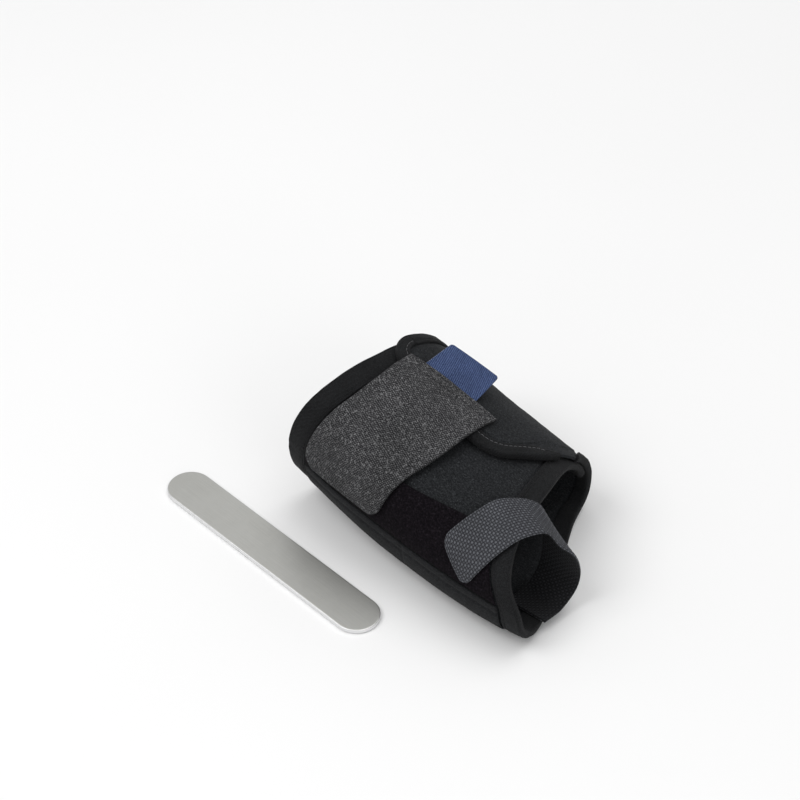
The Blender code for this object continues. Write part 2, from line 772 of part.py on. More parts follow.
def toe_strap_laid_line(form, per_turn, step):
    """Centre and width direction on the unrolled form, where the toe strap lies on the wrap."""
    index = np.arange(len(TOE_STRAP_LAID), dtype=float)
    row = {
        name: curve_value(index, TOE_STRAP_LAID[:, k], step)
        for k, name in enumerate(TOE_STRAP_LAID_COLUMNS)
    }
    rear = np.array((row["rear_along"] * WRAP_LENGTH, row["rear_turn"] * per_turn))
    front = np.array((row["front_along"] * WRAP_LENGTH, row["front_turn"] * per_turn))
    return 0.5 * (rear + front), (front - rear) / np.linalg.norm(front - rear)


def toe_strap_free_frame(row):
    """Centre and width direction of the underside, for one row of the free stretch's table."""
    named = dict(zip(TOE_STRAP_FREE_COLUMNS, row))
    centre = np.array((
        named["along"] * WRAP_LENGTH,
        named["across"] * WRAP_WIDTH,
        SOLE_STRAP_UP + named["up"] * WRAP_HEIGHT,
    ))
    yaw, slope = math.radians(named["yaw"]), math.radians(named["slope"])
    level = math.cos(slope)
    direction = np.array((level * math.cos(yaw), level * math.sin(yaw), math.sin(slope)))
    return centre, direction


def toe_strap_line(form, per_turn, centre, direction, half, heights):
    """Two rows of points across the toe strap, at two heights, where it follows the wrap."""
    rows = []
    for height in heights:
        row = []
        for side in TOE_STRAP_ACROSS:
            along, around = centre + side * half * direction
            row.append(form.at(along, around / per_turn, height))
        rows.append(np.array(row))
    return rows


def toe_strap_rows(form):
    """Undersides and outer faces from the free end, over the wrap, round to the sewn end."""
    per_turn = form.turn_length(TOE_STRAP_LAID[2, 0] * WRAP_LENGTH, 0.0, 1.0)
    half = 0.5 * TOE_STRAP_WIDTH
    last = len(TOE_STRAP_LAID) - 1
    low, high = [], []
    travelled = 0.0
    before = None
    for step in (*TOE_END_STEPS, *np.linspace(0.5, last, TOE_LAID_ROWS)):
        centre, direction = toe_strap_laid_line(form, per_turn, step)
        travelled += 0.0 if before is None else float(np.linalg.norm(centre - before))
        before = centre
        wide = rounded_half_width(half, TOE_STRAP_CORNER, travelled)
        heights = (LAID_BASE, LAID_BASE + TOE_STRAP_THICKNESS)
        under, over = toe_strap_line(form, per_turn, centre, direction, wide, heights)
        low.append(under)
        high.append(over)
    sewn_turn = form.turn_length(TOE_STRAP_SEWN[0, 0] * WRAP_LENGTH, 1.0, 2.0)
    sewn = []
    heights = (INNER_LEG_FACE - CLEARANCE - TOE_STRAP_THICKNESS, INNER_LEG_FACE - CLEARANCE)
    for row in TOE_STRAP_SEWN:
        centre = np.array((row[0] * WRAP_LENGTH, row[1] * sewn_turn))
        sewn.append(toe_strap_line(form, sewn_turn, centre, np.array((1.0, 0.0)), half, heights))
    keys = [(row[0], row[-1]) for row in (low[-3], low[-1])]
    for row in TOE_STRAP_FREE:
        centre, direction = toe_strap_free_frame(row)
        keys.append((centre - half * direction, centre + half * direction))
    keys += [(row[0][0], row[0][-1]) for row in sewn[:2]]
    ends = np.array([np.concatenate(key) for key in keys])
    index = np.arange(len(keys), dtype=float)
    free = []
    for step in np.linspace(1.0, len(keys) - 2.0, TOE_FREE_ROWS)[1:-1]:
        row = np.array([curve_value(index, ends[:, k], step) for k in range(6)])
        free.append((row[:3], row[3:]))
    edges = [(low[-1][0], low[-1][-1])] + free + [(sewn[0][0][0], sewn[0][0][-1])]
    centres = np.array([0.5 * (rear + front) for rear, front in edges])
    run = np.gradient(centres, axis=0)
    shares = 0.5 * (np.array(TOE_STRAP_ACROSS) + 1.0)
    for k, (rear, front) in enumerate(edges[1:-1], start=1):
        outward = np.cross(front - rear, run[k])
        outward /= np.linalg.norm(outward)
        middle = 0.5 * (rear + front)
        reach = half * (front - rear) / np.linalg.norm(front - rear)
        under = np.array([middle + (2.0 * share - 1.0) * reach for share in shares])
        low.append(under)
        high.append(under + outward * TOE_STRAP_THICKNESS)
    for under, over in sewn:
        low.append(under)
        high.append(over)
    return low, high


def build_toe_strap(form, finish):
    """The narrow strap: a band that leaves the wrap's front edge in a loop."""
    low, high = toe_strap_rows(form)
    for under, over in zip(low, high):
        for k in (0, -1):
            over[k] += STRAP_EDGE_SHARE * (under[k] - over[k])
    return slab("toe_strap", low, high, finish)


def build_label(form, finish):
    """A stiff fabric tab that stands off the flap, a little shorter along its free edge."""
    base = FLAP_TOP + CLEARANCE
    middle = table_value(INSTEP_STRAP, INSTEP_STRAP_COLUMNS, "along", INSTEP_SEWN_TURN)
    gap = CLEARANCE / form.turn_length(middle * WRAP_LENGTH, -0.5, 0.0) * 0.5
    shares = np.linspace(0.0, 1.0, LABEL_ROWS)
    seams, directions, normals = [], [], []
    for share in shares:
        offset = (share - 0.5) * LABEL_LENGTH + LABEL_SHIFT
        along, turn = instep_place(INSTEP_SEWN_TURN, offset)
        turn -= gap
        seam = form.at(along, turn, base)
        direction = form.at(along, turn - LABEL_TANGENT_TURN, base) - seam
        direction /= np.linalg.norm(direction)
        normal = form.blend(form.normals, along, turn)
        direction += (LABEL_LIFT + share * LABEL_LIFT_GAIN) * normal
        seams.append(seam)
        directions.append(direction / np.linalg.norm(direction))
        normals.append(normal)
    back = LABEL_TAPER * (seams[0] - seams[-1])
    inner, outer = [], []
    for share, seam, direction, normal in zip(shares, seams, directions, normals):
        low = []
        for reach in np.linspace(0.0, 1.0, LABEL_ACROSS):
            low.append(seam + reach * LABEL_WIDTH * direction + share * reach * back)
        inner.append(low)
        outer.append([point + normal * LABEL_THICKNESS for point in low])
    return slab("label", inner, outer, finish)


def build_stay(finish):
    """A flat bar with fully rounded ends and a small bevel."""
    radius = 0.5 * STAY_WIDTH
    straight = 0.5 * STAY_LENGTH - radius
    bm = bmesh.new()
    outline = []
    for centre, start in ((straight, -0.5 * math.pi), (-straight, 0.5 * math.pi)):
        for step in range(STAY_END_STEPS + 1):
            angle = start + math.pi * step / STAY_END_STEPS
            outline.append((centre + radius * math.cos(angle), radius * math.sin(angle), 0.0))
    face = bm.faces.new([bm.verts.new(point) for point in outline])
    raised = bmesh.ops.extrude_face_region(bm, geom=[face])
    top = [item for item in raised["geom"] if isinstance(item, bmesh.types.BMVert)]
    bmesh.ops.translate(bm, verts=top, vec=(0.0, 0.0, STAY_THICKNESS))
    stay = add_object("stay", bm, finish)
    bevel = stay.modifiers.new("edges", "BEVEL")
    bevel.width = STAY_EDGE
    bevel.segments = 1
    bevel.limit_method = "ANGLE"
    bevel.angle_limit = math.radians(60.0)
    stay.location = (STAY_BACK_SHARE * WRAP_LENGTH, -STAY_DISTANCE, 0.0)
    stay.rotation_euler = (0.0, 0.0, STAY_ANGLE)
    return stay


def build():
    remove_all()
    form = Form()
    outline = FlapOutline(form)
    neoprene = material("neoprene", (0.021, 0.022, 0.024), 0.85)
    edge_tape = material("edge_tape", (0.012, 0.012, 0.013), 0.80)
    velvet = material("loop_velvet", (0.006, 0.005, 0.006), 0.95)
    band = material("stretch_band", (0.018, 0.019, 0.020), 0.85)
    plush = material("plush_webbing", (0.062, 0.062, 0.066), 0.90)
    webbing = material("woven_webbing", (0.070, 0.072, 0.078), 0.80)
    tab = material("label_cloth", (0.048, 0.077, 0.202), 0.75)
    aluminium = material("satin_aluminium", (0.40, 0.40, 0.38), 0.42, 1.0)
    build_wrap(form, outline, neoprene)
    build_rear_binding(form, outline, edge_tape)
    build_front_binding(form, outline, edge_tape)
    build_flap_binding(form, outline, edge_tape)
    build_loop_panel(form, velvet)
    build_stay_pocket(form, band)
    build_instep_strap(form, plush)
    build_toe_strap(form, webbing)
    build_label(form, tab)
    build_stay(aluminium)


build()
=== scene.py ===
"""Looks of the bunion corrector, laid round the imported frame.

The wrap's form repeats the part's own tables: a place has a distance along, in metres towards
the toes, and a turn, which goes 0 at the top ridge, 1 at the inner side, 2 under the sole, 3 at
the outer side and 4 back at the ridge. A height is the distance outwards from the wrap's inner
face. Each cloth piece is a fine closed slab on that form, with a map called cloth in millimetres.
"""

import math

import bpy
import numpy as np
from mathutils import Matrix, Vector


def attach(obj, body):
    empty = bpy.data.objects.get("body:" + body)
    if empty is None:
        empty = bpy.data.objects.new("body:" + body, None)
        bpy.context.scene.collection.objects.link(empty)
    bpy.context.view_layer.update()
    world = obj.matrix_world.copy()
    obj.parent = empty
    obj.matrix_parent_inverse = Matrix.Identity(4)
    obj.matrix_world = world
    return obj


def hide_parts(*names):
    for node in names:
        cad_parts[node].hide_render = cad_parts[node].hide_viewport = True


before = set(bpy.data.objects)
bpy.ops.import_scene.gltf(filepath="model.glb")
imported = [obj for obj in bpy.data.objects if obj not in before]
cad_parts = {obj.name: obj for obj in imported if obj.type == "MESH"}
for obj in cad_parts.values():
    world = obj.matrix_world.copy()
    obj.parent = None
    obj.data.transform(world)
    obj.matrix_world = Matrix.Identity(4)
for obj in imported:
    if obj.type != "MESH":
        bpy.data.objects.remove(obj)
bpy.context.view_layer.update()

# Sizes of the part, in metres
WRAP_LENGTH, WRAP_WIDTH, WRAP_HEIGHT = 0.135, 0.084, 0.069
WRAP_THICKNESS, SEWN_THICKNESS = 0.0025, 0.0013
SOLE_FLATTENING, CLEARANCE = 0.0005, 0.0003
REAR_BINDING_WIDTH, FRONT_BINDING_WIDTH, FLAP_BINDING_WIDTH = 0.0110, 0.0095, 0.0060
OUTER_LEG, INNER_LEG, FOLD = 0.0011, 0.0006, 0.0009
FLAP_CORNER, FLAP_TIP_BLUNTING = 0.0120, 0.0060
PANEL_THICKNESS, POCKET_THICKNESS = 0.0012, 0.0010
INSTEP_WIDTH, INSTEP_THICKNESS, INSTEP_CORNER = 0.0430, 0.0020, 0.0060
TOE_WIDTH, TOE_THICKNESS, TOE_CORNER = 0.0200, 0.0015, 0.0050
LABEL_LENGTH, LABEL_WIDTH, LABEL_THICKNESS, LABEL_CORNER = 0.0253, 0.0164, 0.0008, 0.0014
LABEL_SHIFT, LABEL_TANGENT_TURN, LABEL_TAPER = -0.0024, 0.06, 0.09
LABEL_LIFT, LABEL_LIFT_GAIN = 0.36, 0.14
STAY_LENGTH, STAY_WIDTH, STAY_THICKNESS, STAY_EDGE = 0.1250, 0.0200, 0.0020, 0.0005
STAY_DISTANCE, STAY_BACK_SHARE, STAY_ANGLE = 0.0671, -0.375, math.radians(-3.6)

SECTION_NAMES = (
    "medial", "lateral", "ridge", "top", "medial_height", "lateral_height",
    "top_medial_power", "sole_medial_power", "sole_lateral_power", "top_lateral_power",
)
SECTIONS = np.array((
    (-0.533, -0.440, 0.440, 0.024, 1.000, 0.536, 0.348, 2.1, 2.0, 3.0, 2.1),
    (-0.281, -0.470, 0.462, -0.012, 0.913, 0.435, 0.275, 2.1, 2.4, 3.0, 2.1),
    (-0.037, -0.494, 0.474, -0.071, 0.783, 0.348, 0.217, 2.1, 2.9, 3.0, 2.1),
    (0.222, -0.500, 0.474, -0.143, 0.638, 0.290, 0.188, 2.0, 3.0, 3.0, 2.0),
    (0.459, -0.476, 0.438, -0.179, 0.551, 0.261, 0.174, 2.0, 3.0, 3.0, 1.9),
    (0.622, -0.440, 0.367, -0.179, 0.507, 0.246, 0.159, 2.0, 2.8, 2.8, 1.9),
))
# Turn, rear edge, front edge
EDGES = np.array((
    (0.00, -0.368, 0.337), (0.35, -0.406, 0.374), (0.65, -0.449, 0.413),
    (1.00, -0.480, 0.480), (1.35, -0.482, 0.484), (2.00, -0.448, 0.385),
    (3.00, -0.368, 0.237), (3.40, -0.357, 0.254), (3.72, -0.358, 0.302),
))
FLAP_EDGE = np.array((
    (0.000, 3.98), (0.300, 3.99), (0.560, 3.98), (0.680, 3.92), (0.742, 3.85),
    (0.800, 3.75), (0.886, 3.61), (0.943, 3.50), (1.000, 3.43),
))
# Along, upper turn, lower turn
LOOP_PANEL = np.array((
    (-0.430, 0.64, 1.03), (-0.250, 0.59, 1.02), (-0.020, 0.56, 0.98),
    (0.240, 0.38, 0.95), (0.440, 0.27, 0.95),
))
INSTEP_SEWN_TURN, INSTEP_FREE_TURN = -0.17, 0.95
INSTEP_SEWN_SLANT, INSTEP_FREE_SLANT = 0.16, 0.06
# Turn, centre line along, rise
INSTEP_STRAP = np.array((
    (-0.42, -0.124, 0.78), (-0.22, -0.125, 0.78), (-0.18, -0.125, 0.84), (-0.14, -0.126, 0.99),
    (-0.10, -0.126, 1.00), (0.02, -0.128, 1.00), (0.15, -0.132, 0.70), (0.27, -0.143, 0.33),
    (0.39, -0.158, 0.09), (0.50, -0.177, 0.00), (0.68, -0.203, 0.00), (0.84, -0.219, 0.00),
    (1.00, -0.222, 0.00),
))
TOE_STRAP_LAID = np.array((
    (0.170, 0.70, 0.286, 0.93), (0.192, 0.51, 0.320, 0.69), (0.218, 0.34, 0.343, 0.46),
    (0.242, 0.15, 0.366, 0.24), (0.272, 0.01, 0.404, 0.05),
))
TOE_STRAP_FREE = np.array((
    (0.390, -0.124, 0.530, -17.0, -31.0), (0.412, -0.083, 0.420, -8.0, -22.0),
    (0.417, -0.067, 0.285, 0.0, -11.0), (0.417, -0.067, 0.161, 4.0, -4.0),
    (0.413, -0.097, 0.060, 5.0, 0.0),
))
TOE_STRAP_SEWN = np.array(((0.411, 1.72), (0.410, 1.60), (0.411, 1.50)))
HIDDEN_END_TURN, LAP_START_TURN, LAP_END_TURN, FLAP_START_TURN = -0.90, 2.62, 3.06, 3.15
SOLE_RISE_REACH = 0.018

# Heights above the inner face
SEWN_INNER = INNER_LEG
SEWN_OUTER = SEWN_INNER + SEWN_THICKNESS
INNER_TOP = SEWN_INNER - CLEARANCE
INNER_FACE = INNER_TOP - INNER_LEG
OUTER_BASE = SEWN_OUTER + CLEARANCE
OUTER_FACE = OUTER_BASE + OUTER_LEG
LAP_RISE = OUTER_FACE - INNER_FACE + CLEARANCE
SOLE_RISE = OUTER_FACE - WRAP_THICKNESS + CLEARANCE
PANEL_BASE = WRAP_THICKNESS + CLEARANCE
LAID_BASE = PANEL_BASE + PANEL_THICKNESS + CLEARANCE
FLAP_TOP = LAP_RISE + WRAP_THICKNESS
STRAP_TOP_BASE = LAP_RISE + OUTER_FACE + CLEARANCE
SEWN_INSET = FOLD + CLEARANCE
SOLE_STRAP_UP = WRAP_THICKNESS + SOLE_RISE - INNER_FACE + CLEARANCE + TOE_THICKNESS

NARROWING_START_TURN, NARROWING_TURNS, MITRE_SHARE = 2.4, 0.6, 0.93
STITCH_PITCH, STITCH_LENGTH, STITCH_RADIUS = 0.0022, 0.00195, 0.00013
SEAM_INSET, SEAM_HALF = 0.0017, 0.00055
TAPE_FOLD_REACH, TAPE_LIP, TAPE_LIP_STEP, TAPE_TAIL = 0.0013, 0.0008, 0.0001, 0.0002
PUCKER_HEIGHT, PUCKER_REACH, PUCKER_PITCH = 0.00016, 0.0035, 4.8
STRAP_SEAMS, STRAP_SEAM_HALF, STRAP_SEAM_DEPTH = (0.0022, 0.0062), 0.0006, 0.00030
POCKET_SEAM, POCKET_GAP_TURN, POCKET_TURNS = 0.004, 0.02, 0.42
CELL = 1.2

# Fineness
STATIONS, QUARTER = 161, 60
LENGTH_SAMPLES = 97
ROUNDS, FLAP_GUESS = 40, 3.8
PANEL_ROUNDS, PANEL_GUESS = 30, 0.75
SEED = 7


def curve(xs, ys, x):
    """A smooth curve through a short table, with its slopes taken from the neighbours."""
    xs, ys = np.asarray(xs, float), np.asarray(ys, float)
    slopes = np.gradient(ys, xs)
    span = np.clip(np.searchsorted(xs, x) - 1, 0, len(xs) - 2)
    width = xs[span + 1] - xs[span]
    t = (x - xs[span]) / width
    start = (2 * t ** 3 - 3 * t ** 2 + 1) * ys[span] + (t ** 3 - 2 * t ** 2 + t) * width * slopes[span]
    end = (3 * t ** 2 - 2 * t ** 3) * ys[span + 1] + (t ** 3 - t ** 2) * width * slopes[span + 1]
    return start + end


def lookup(table, k, x):
    """A table's column k, read smoothly against its first column."""
    return curve(table[:, 0], table[:, k], x)


def smooth(x):
    t = np.clip(x, 0.0, 1.0)
    return t * t * (3.0 - 2.0 * t)


def unit(vectors):
    return vectors / np.linalg.norm(vectors, axis=-1, keepdims=True)


def travelled(steps):
    return np.concatenate(((0.0,), np.cumsum(steps)))


def line_lengths(points):
    """The distance travelled at each point of a line."""
    return travelled(np.linalg.norm(np.diff(points, axis=0), axis=1))


def edge(column, turn):
    """Where the wrap's rear (1) or front (2) edge is, along, at a turn."""
    turns = np.concatenate((EDGES[-2:, 0] - 4.0, EDGES[:, 0], EDGES[:2, 0] + 4.0))
    shares = np.concatenate((EDGES[-2:, column], EDGES[:, column], EDGES[:2, column]))
    return curve(turns, shares, np.mod(turn, 4.0)) * WRAP_LENGTH


def rear_edge(turn):
    return edge(1, turn)


def front_edge(turn):
    return edge(2, turn)


def binding_width(full, turn):
    """A binding's width: it narrows on the outer side to that of the flap's binding."""
    return full + (FLAP_BINDING_WIDTH - full) * smooth((turn - NARROWING_START_TURN) / NARROWING_TURNS)


def lap_height(turn):
    return LAP_RISE * smooth((turn - LAP_START_TURN) / (LAP_END_TURN - LAP_START_TURN))


def quarter(start, end, power):
    """A quarter of a section in even steps, as a superellipse."""
    angles = np.linspace(0.0, math.pi / 2, QUARTER + 1)
    across = start[0] + (end[0] - start[0]) * np.sin(angles) ** (2.0 / power)
    up = end[1] + (start[1] - end[1]) * np.cos(angles) ** (2.0 / power)
    run = travelled(np.hypot(np.diff(across), np.diff(up)))
    even = np.linspace(0.0, run[-1], QUARTER + 1)
    return np.interp(even, run, across), np.interp(even, run, up)


def section_ring(along):
    """The inner face's section at one place, from the ridge once round."""
    share = along / WRAP_LENGTH
    row = {name: lookup(SECTIONS, k, share) for k, name in enumerate(SECTION_NAMES, start=1)}
    medial, lateral = row["medial"] * WRAP_WIDTH, row["lateral"] * WRAP_WIDTH
    top = (row["ridge"] * WRAP_WIDTH, row["top"] * WRAP_HEIGHT)
    inner = (medial, row["medial_height"] * WRAP_HEIGHT)
    sole = (0.5 * (medial + lateral), 0.0)
    outer = (lateral, row["lateral_height"] * WRAP_HEIGHT)
    parts = (
        quarter(top, inner, row["top_medial_power"]),
        tuple(a[::-1] for a in quarter(sole, inner, row["sole_medial_power"])),
        quarter(sole, outer, row["sole_lateral_power"]),
        tuple(a[::-1] for a in quarter(top, outer, row["top_lateral_power"])),
    )
    across = np.concatenate([p[0][:-1] for p in parts] + [parts[0][0][:1]])
    up = np.concatenate([p[1][:-1] for p in parts] + [parts[0][1][:1]])
    return across, np.maximum(up - SOLE_FLATTENING, 0.0)


def soft_folds(along, turn):
    """Gentle waves that all the layers share, none of them on the sole."""
    angle = 0.5 * math.pi * np.mod(turn, 4.0)
    away = 1.0 - smooth((np.cos(angle - math.pi) - 0.15) / 0.5)
    wave = 0.00022 * np.sin(2.0 * angle + 62.0 * along + 0.7)
    wave = wave + 0.00016 * np.sin(5.0 * angle - 95.0 * along + 2.1)
    wave = wave + 0.00009 * np.sin(9.0 * angle + 170.0 * along + 0.3)
    return away * wave


class Form:
    """The inner face of the wrap, sampled once, with its outward directions."""

    def __init__(self):
        self.along = np.linspace(SECTIONS[0, 0], SECTIONS[-1, 0], STATIONS) * WRAP_LENGTH
        self.turns = np.linspace(0.0, 4.0, 4 * QUARTER + 1)
        points = np.zeros((STATIONS, len(self.turns), 3))
        for index, along in enumerate(self.along):
            across, up = section_ring(along)
            points[index, :, 0] = along
            points[index, :, 1] = across
            points[index, :, 2] = up + WRAP_THICKNESS
        turns = self.turns
        weight = smooth((turns - 1.0) / 0.5) * smooth((3.0 - turns) / 0.5)
        rear = rear_edge(turns) + binding_width(REAR_BINDING_WIDTH, turns)
        front = front_edge(turns) - binding_width(FRONT_BINDING_WIDTH, turns)
        away = np.minimum(self.along[:, None] - rear, front - self.along[:, None])
        points[..., 2] += weight * SOLE_RISE * (1.0 - smooth(away / SOLE_RISE_REACH))
        wrapped = np.concatenate((points[:, -2:-1], points, points[:, 1:2]), axis=1)
        normals = np.cross(wrapped[:, 2:] - wrapped[:, :-2], np.gradient(points, axis=0))
        self.points = points
        self.normals = unit(normals)

    def blend(self, grid, along, turn):
        row = (along - self.along[0]) / (self.along[1] - self.along[0])
        row = np.clip(row, 0.0, STATIONS - 1.001)
        column = np.mod(turn, 4.0) * QUARTER
        i, j = row.astype(int), np.minimum(column.astype(int), len(self.turns) - 2)
        a, b = (row - i)[..., None], (column - j)[..., None]
        low = grid[i, j] * (1 - b) + grid[i, j + 1] * b
        high = grid[i + 1, j] * (1 - b) + grid[i + 1, j + 1] * b
        return low * (1 - a) + high * a

    def at(self, along, turn, height):
        along, turn, height = np.broadcast_arrays(
            np.asarray(along, float), np.asarray(turn, float), np.asarray(height, float))
        point = self.blend(self.points, along, turn)
        point[..., 0] = along
        lift = height + lap_height(turn) + soft_folds(along, turn)
        return point + self.normal(along, turn) * lift[..., None]

    def normal(self, along, turn):
        return unit(self.blend(self.normals, np.asarray(along, float), np.asarray(turn, float)))

    def turn_length(self, along, start, end):
        turns = np.linspace(start, end, LENGTH_SAMPLES)
        return float(line_lengths(self.blend(self.points, np.full(LENGTH_SAMPLES, along), turns))[-1])


form = Form()
PER_TURN = form.turn_length(0.5 * (rear_edge(3.5) + front_edge(3.5)), 3.0, 4.0)
CORNER_TURN = FLAP_EDGE[0, 1]
CORNER_START = CORNER_TURN - FLAP_CORNER / PER_TURN
TIP_TURN = FLAP_EDGE[-1, 1]
BLUNT_TURN = TIP_TURN - FLAP_TIP_BLUNTING / PER_TURN


def flap_turn_at(along, turn):
    """The turn of the flap's free edge. It leaves the rounded corner smoothly."""
    rear, front = rear_edge(turn), front_edge(turn)
    share = np.clip((along - rear) / (front - rear), 0.0, 1.0)
    free = lookup(FLAP_EDGE, 1, share)
    past = smooth((along - rear - FLAP_CORNER) / FLAP_CORNER)
    return CORNER_TURN + (free - CORNER_TURN) * past


def solve_flap_turn(along):
    turn = np.full(np.shape(along), FLAP_GUESS)
    for _ in range(ROUNDS):
        turn = turn + 0.5 * (flap_turn_at(along, turn) - turn)
    return turn


def edge_slope(along):
    """The inward direction at the flap's free edge: along and round."""
    step = 0.0005
    slope = (solve_flap_turn(along + step) - solve_flap_turn(along - step)) * PER_TURN / (2 * step)
    length = np.hypot(1.0, slope)
    return slope / length, -1.0 / length


def corner_drop(distance, inset):
    """How far the flap's rounded corner stands back from its free edge."""
    radius, offset = FLAP_CORNER - inset, FLAP_CORNER - distance
    inside = FLAP_CORNER - np.sqrt(np.maximum(radius ** 2 - offset ** 2, 0.0))
    drop = np.where(offset <= 0.0, inset, inside)
    return np.where(offset >= radius, FLAP_CORNER + offset - radius, drop)


def mitre_slope():
    """How fast the two tapes that meet at the flap's tip narrow towards it."""
    turn = lookup(FLAP_EDGE, 1, MITRE_SHARE)
    span = front_edge(turn) - rear_edge(turn)
    angle = math.atan2((1.0 - MITRE_SHARE) * span, (turn - TIP_TURN) * PER_TURN)
    return math.tan(0.5 * angle)


MITRE = mitre_slope()


# Node materials

class Look:
    """A small builder for one procedural material."""

    def __init__(self, name, roughness, metallic=0.0, sheen=0.0, sheen_roughness=0.5, specular=0.3):
        self.made = bpy.data.materials.new(name)
        self.made.use_nodes = True
        self.tree = self.made.node_tree
        self.shader = self.tree.nodes["Principled BSDF"]
        uniform = {"Roughness": roughness, "Metallic": metallic, "Sheen Weight": sheen,
                   "Sheen Roughness": sheen_roughness, "Specular IOR Level": specular}
        for socket, value in uniform.items():
            self.shader.inputs[socket].default_value = value
        self.coords = self.node("TexCoord").outputs["Object"]
        self.cloth = self.uv("cloth")
        self.u, self.v, _ = self.split(self.cloth)
        self.rim, self.side, _ = self.split(self.uv("rim"))

    def node(self, kind):
        return self.tree.nodes.new("ShaderNode" + kind)

    def uv(self, name):
        node = self.node("UVMap")
        node.uv_map = name
        return node.outputs["UV"]

    def plug(self, socket, value):
        if hasattr(value, "is_output"):
            self.tree.links.new(value, socket)
        else:
            socket.default_value = value

    def split(self, vector):
        node = self.node("SeparateXYZ")
        self.plug(node.inputs[0], vector)
        return node.outputs

    def math(self, operation, *values):
        node = self.node("Math")
        node.operation = operation
        for socket, value in zip(node.inputs, values):
            self.plug(socket, value)
        return node.outputs[0]

    def times(self, first, second):
        return self.math("MULTIPLY", first, second)

    def plus(self, first, second):
        return self.math("ADD", first, second)

    def blend(self, first, share, second, rest):
        return self.plus(self.times(first, share), self.times(second, rest))

    def noise(self, scale, detail=2.0, rough=0.5, vector=None, stretch=None):
        source = self.coords if vector is None else vector
        if stretch is not None:
            mapping = self.node("Mapping")
            self.plug(mapping.inputs["Vector"], source)
            mapping.inputs["Scale"].default_value = stretch
            source = mapping.outputs[0]
        node = self.node("TexNoise")
        self.plug(node.inputs["Vector"], source)
        node.inputs["Scale"].default_value = scale
        node.inputs["Detail"].default_value = detail
        node.inputs["Roughness"].default_value = rough
        return node.outputs["Fac"]

    def speckle(self, scale, vector=None):
        """A random value for each small cell."""
        node = self.node("TexVoronoi")
        self.plug(node.inputs["Vector"], self.coords if vector is None else vector)
        node.inputs["Scale"].default_value = scale
        return self.split(node.outputs["Color"])[0], node.outputs["Distance"]

    def ramp(self, value, *stops):
        node = self.node("ValToRGB")
        self.plug(node.inputs[0], value)
        elements = node.color_ramp.elements
        while len(elements) < len(stops):
            elements.new(0.5)
        for element, (position, colour) in zip(elements, stops):
            element.position = position
            grey = isinstance(colour, (int, float))
            element.color = (colour, colour, colour, 1.0) if grey else (*colour, 1.0)
        return node.outputs[0]

    def mix(self, share, first, second, how="MIX"):
        node = self.node("Mix")
        node.data_type = "RGBA"
        node.blend_type = how
        self.plug(node.inputs[0], share)
        for socket, value in ((node.inputs[6], first), (node.inputs[7], second)):
            self.plug(socket, (*value, 1.0) if isinstance(value, tuple) else value)
        return node.outputs[2]

    def patched(self, colour, scale, dark, light):
        """The colour, a little darker and lighter in soft patches."""
        patches = self.ramp(self.noise(scale), (0.30, dark), (0.70, light))
        return self.mix(1.0, colour, patches, "MULTIPLY")

    def wave(self, value, pitch):
        """0 to 1 and back, once for each pitch of a value in millimetres."""
        angle = self.math("MULTIPLY_ADD", value, 2 * math.pi / pitch, 0.0)
        return self.math("MULTIPLY_ADD", self.math("SINE", angle), 0.5, 0.5)

    def bump(self, *layers):
        """Layers of height, each with its depth in metres."""
        before = None
        for height, depth in layers:
            node = self.node("Bump")
            node.inputs["Distance"].default_value = depth
            self.plug(node.inputs["Height"], height)
            if before is not None:
                self.plug(node.inputs["Normal"], before)
            before = node.outputs[0]
        self.plug(self.shader.inputs["Normal"], before)

    def colour(self, value):
        self.plug(self.shader.inputs["Base Color"], value)

    def rough(self, value, *stops):
        self.plug(self.shader.inputs["Roughness"], self.ramp(value, *stops))


def jersey_look(name, dark, mid, light):
    """Fine knitted cloth over foam: heather grain, small wales and soft colour changes."""
    look = Look(name, 0.9, sheen=0.03, sheen_roughness=0.5, specular=0.10)
    u, v = look.u, look.v
    grain = look.noise(1500.0, 3.0, 0.75)
    streak = look.noise(1.0, 2.0, 0.6, vector=look.cloth, stretch=(0.55, 2.6, 1.0))
    tone = look.blend(grain, 0.65, streak, 0.35)
    colour = look.ramp(tone, (0.36, dark), (0.50, mid), (0.66, light))
    colour = look.patched(colour, 38.0, 0.82, 1.12)
    fleck, _ = look.speckle(2500.0)
    pale = look.ramp(fleck, (0.95, 0.0), (0.99, 1.0))
    colour = look.mix(look.times(pale, 0.22), colour, tuple(3.0 * c for c in light))
    worn = look.times(look.ramp(look.rim, (0.0, 1.0), (0.9, 0.0)), look.noise(520.0, 3.0))
    look.colour(look.mix(look.times(worn, 0.3), colour, tuple(1.6 * c for c in light)))
    rows = look.times(look.wave(u, 0.62), look.wave(v, 0.80))
    look.bump((rows, 0.00006), (grain, 0.00014), (look.noise(160.0, 2.0), 0.00014))
    look.rough(grain, (0.3, 0.96), (0.75, 0.82))
    return look.made


def tape_look(name, dark, mid, light):
    """Folded binding tape: fine slanted ribs, grain and soft colour changes."""
    look = Look(name, 0.85, sheen=0.03, sheen_roughness=0.5, specular=0.12)
    u, v = look.u, look.v
    slant = look.plus(u, look.times(v, 0.8))
    ribs = look.wave(slant, 0.75)
    cross = look.wave(look.math("SUBTRACT", u, v), 0.55)
    grain = look.noise(1900.0, 3.0, 0.75)
    tone = look.blend(grain, 0.7, ribs, 0.3)
    colour = look.ramp(tone, (0.34, dark), (0.52, mid), (0.72, light))
    look.colour(look.patched(colour, 70.0, 0.8, 1.2))
    look.bump((look.times(ribs, cross), 0.00010), (grain, 0.00016),
              (look.noise(240.0, 2.0), 0.00018))
    look.rough(grain, (0.3, 0.92), (0.75, 0.76))
    return look.made


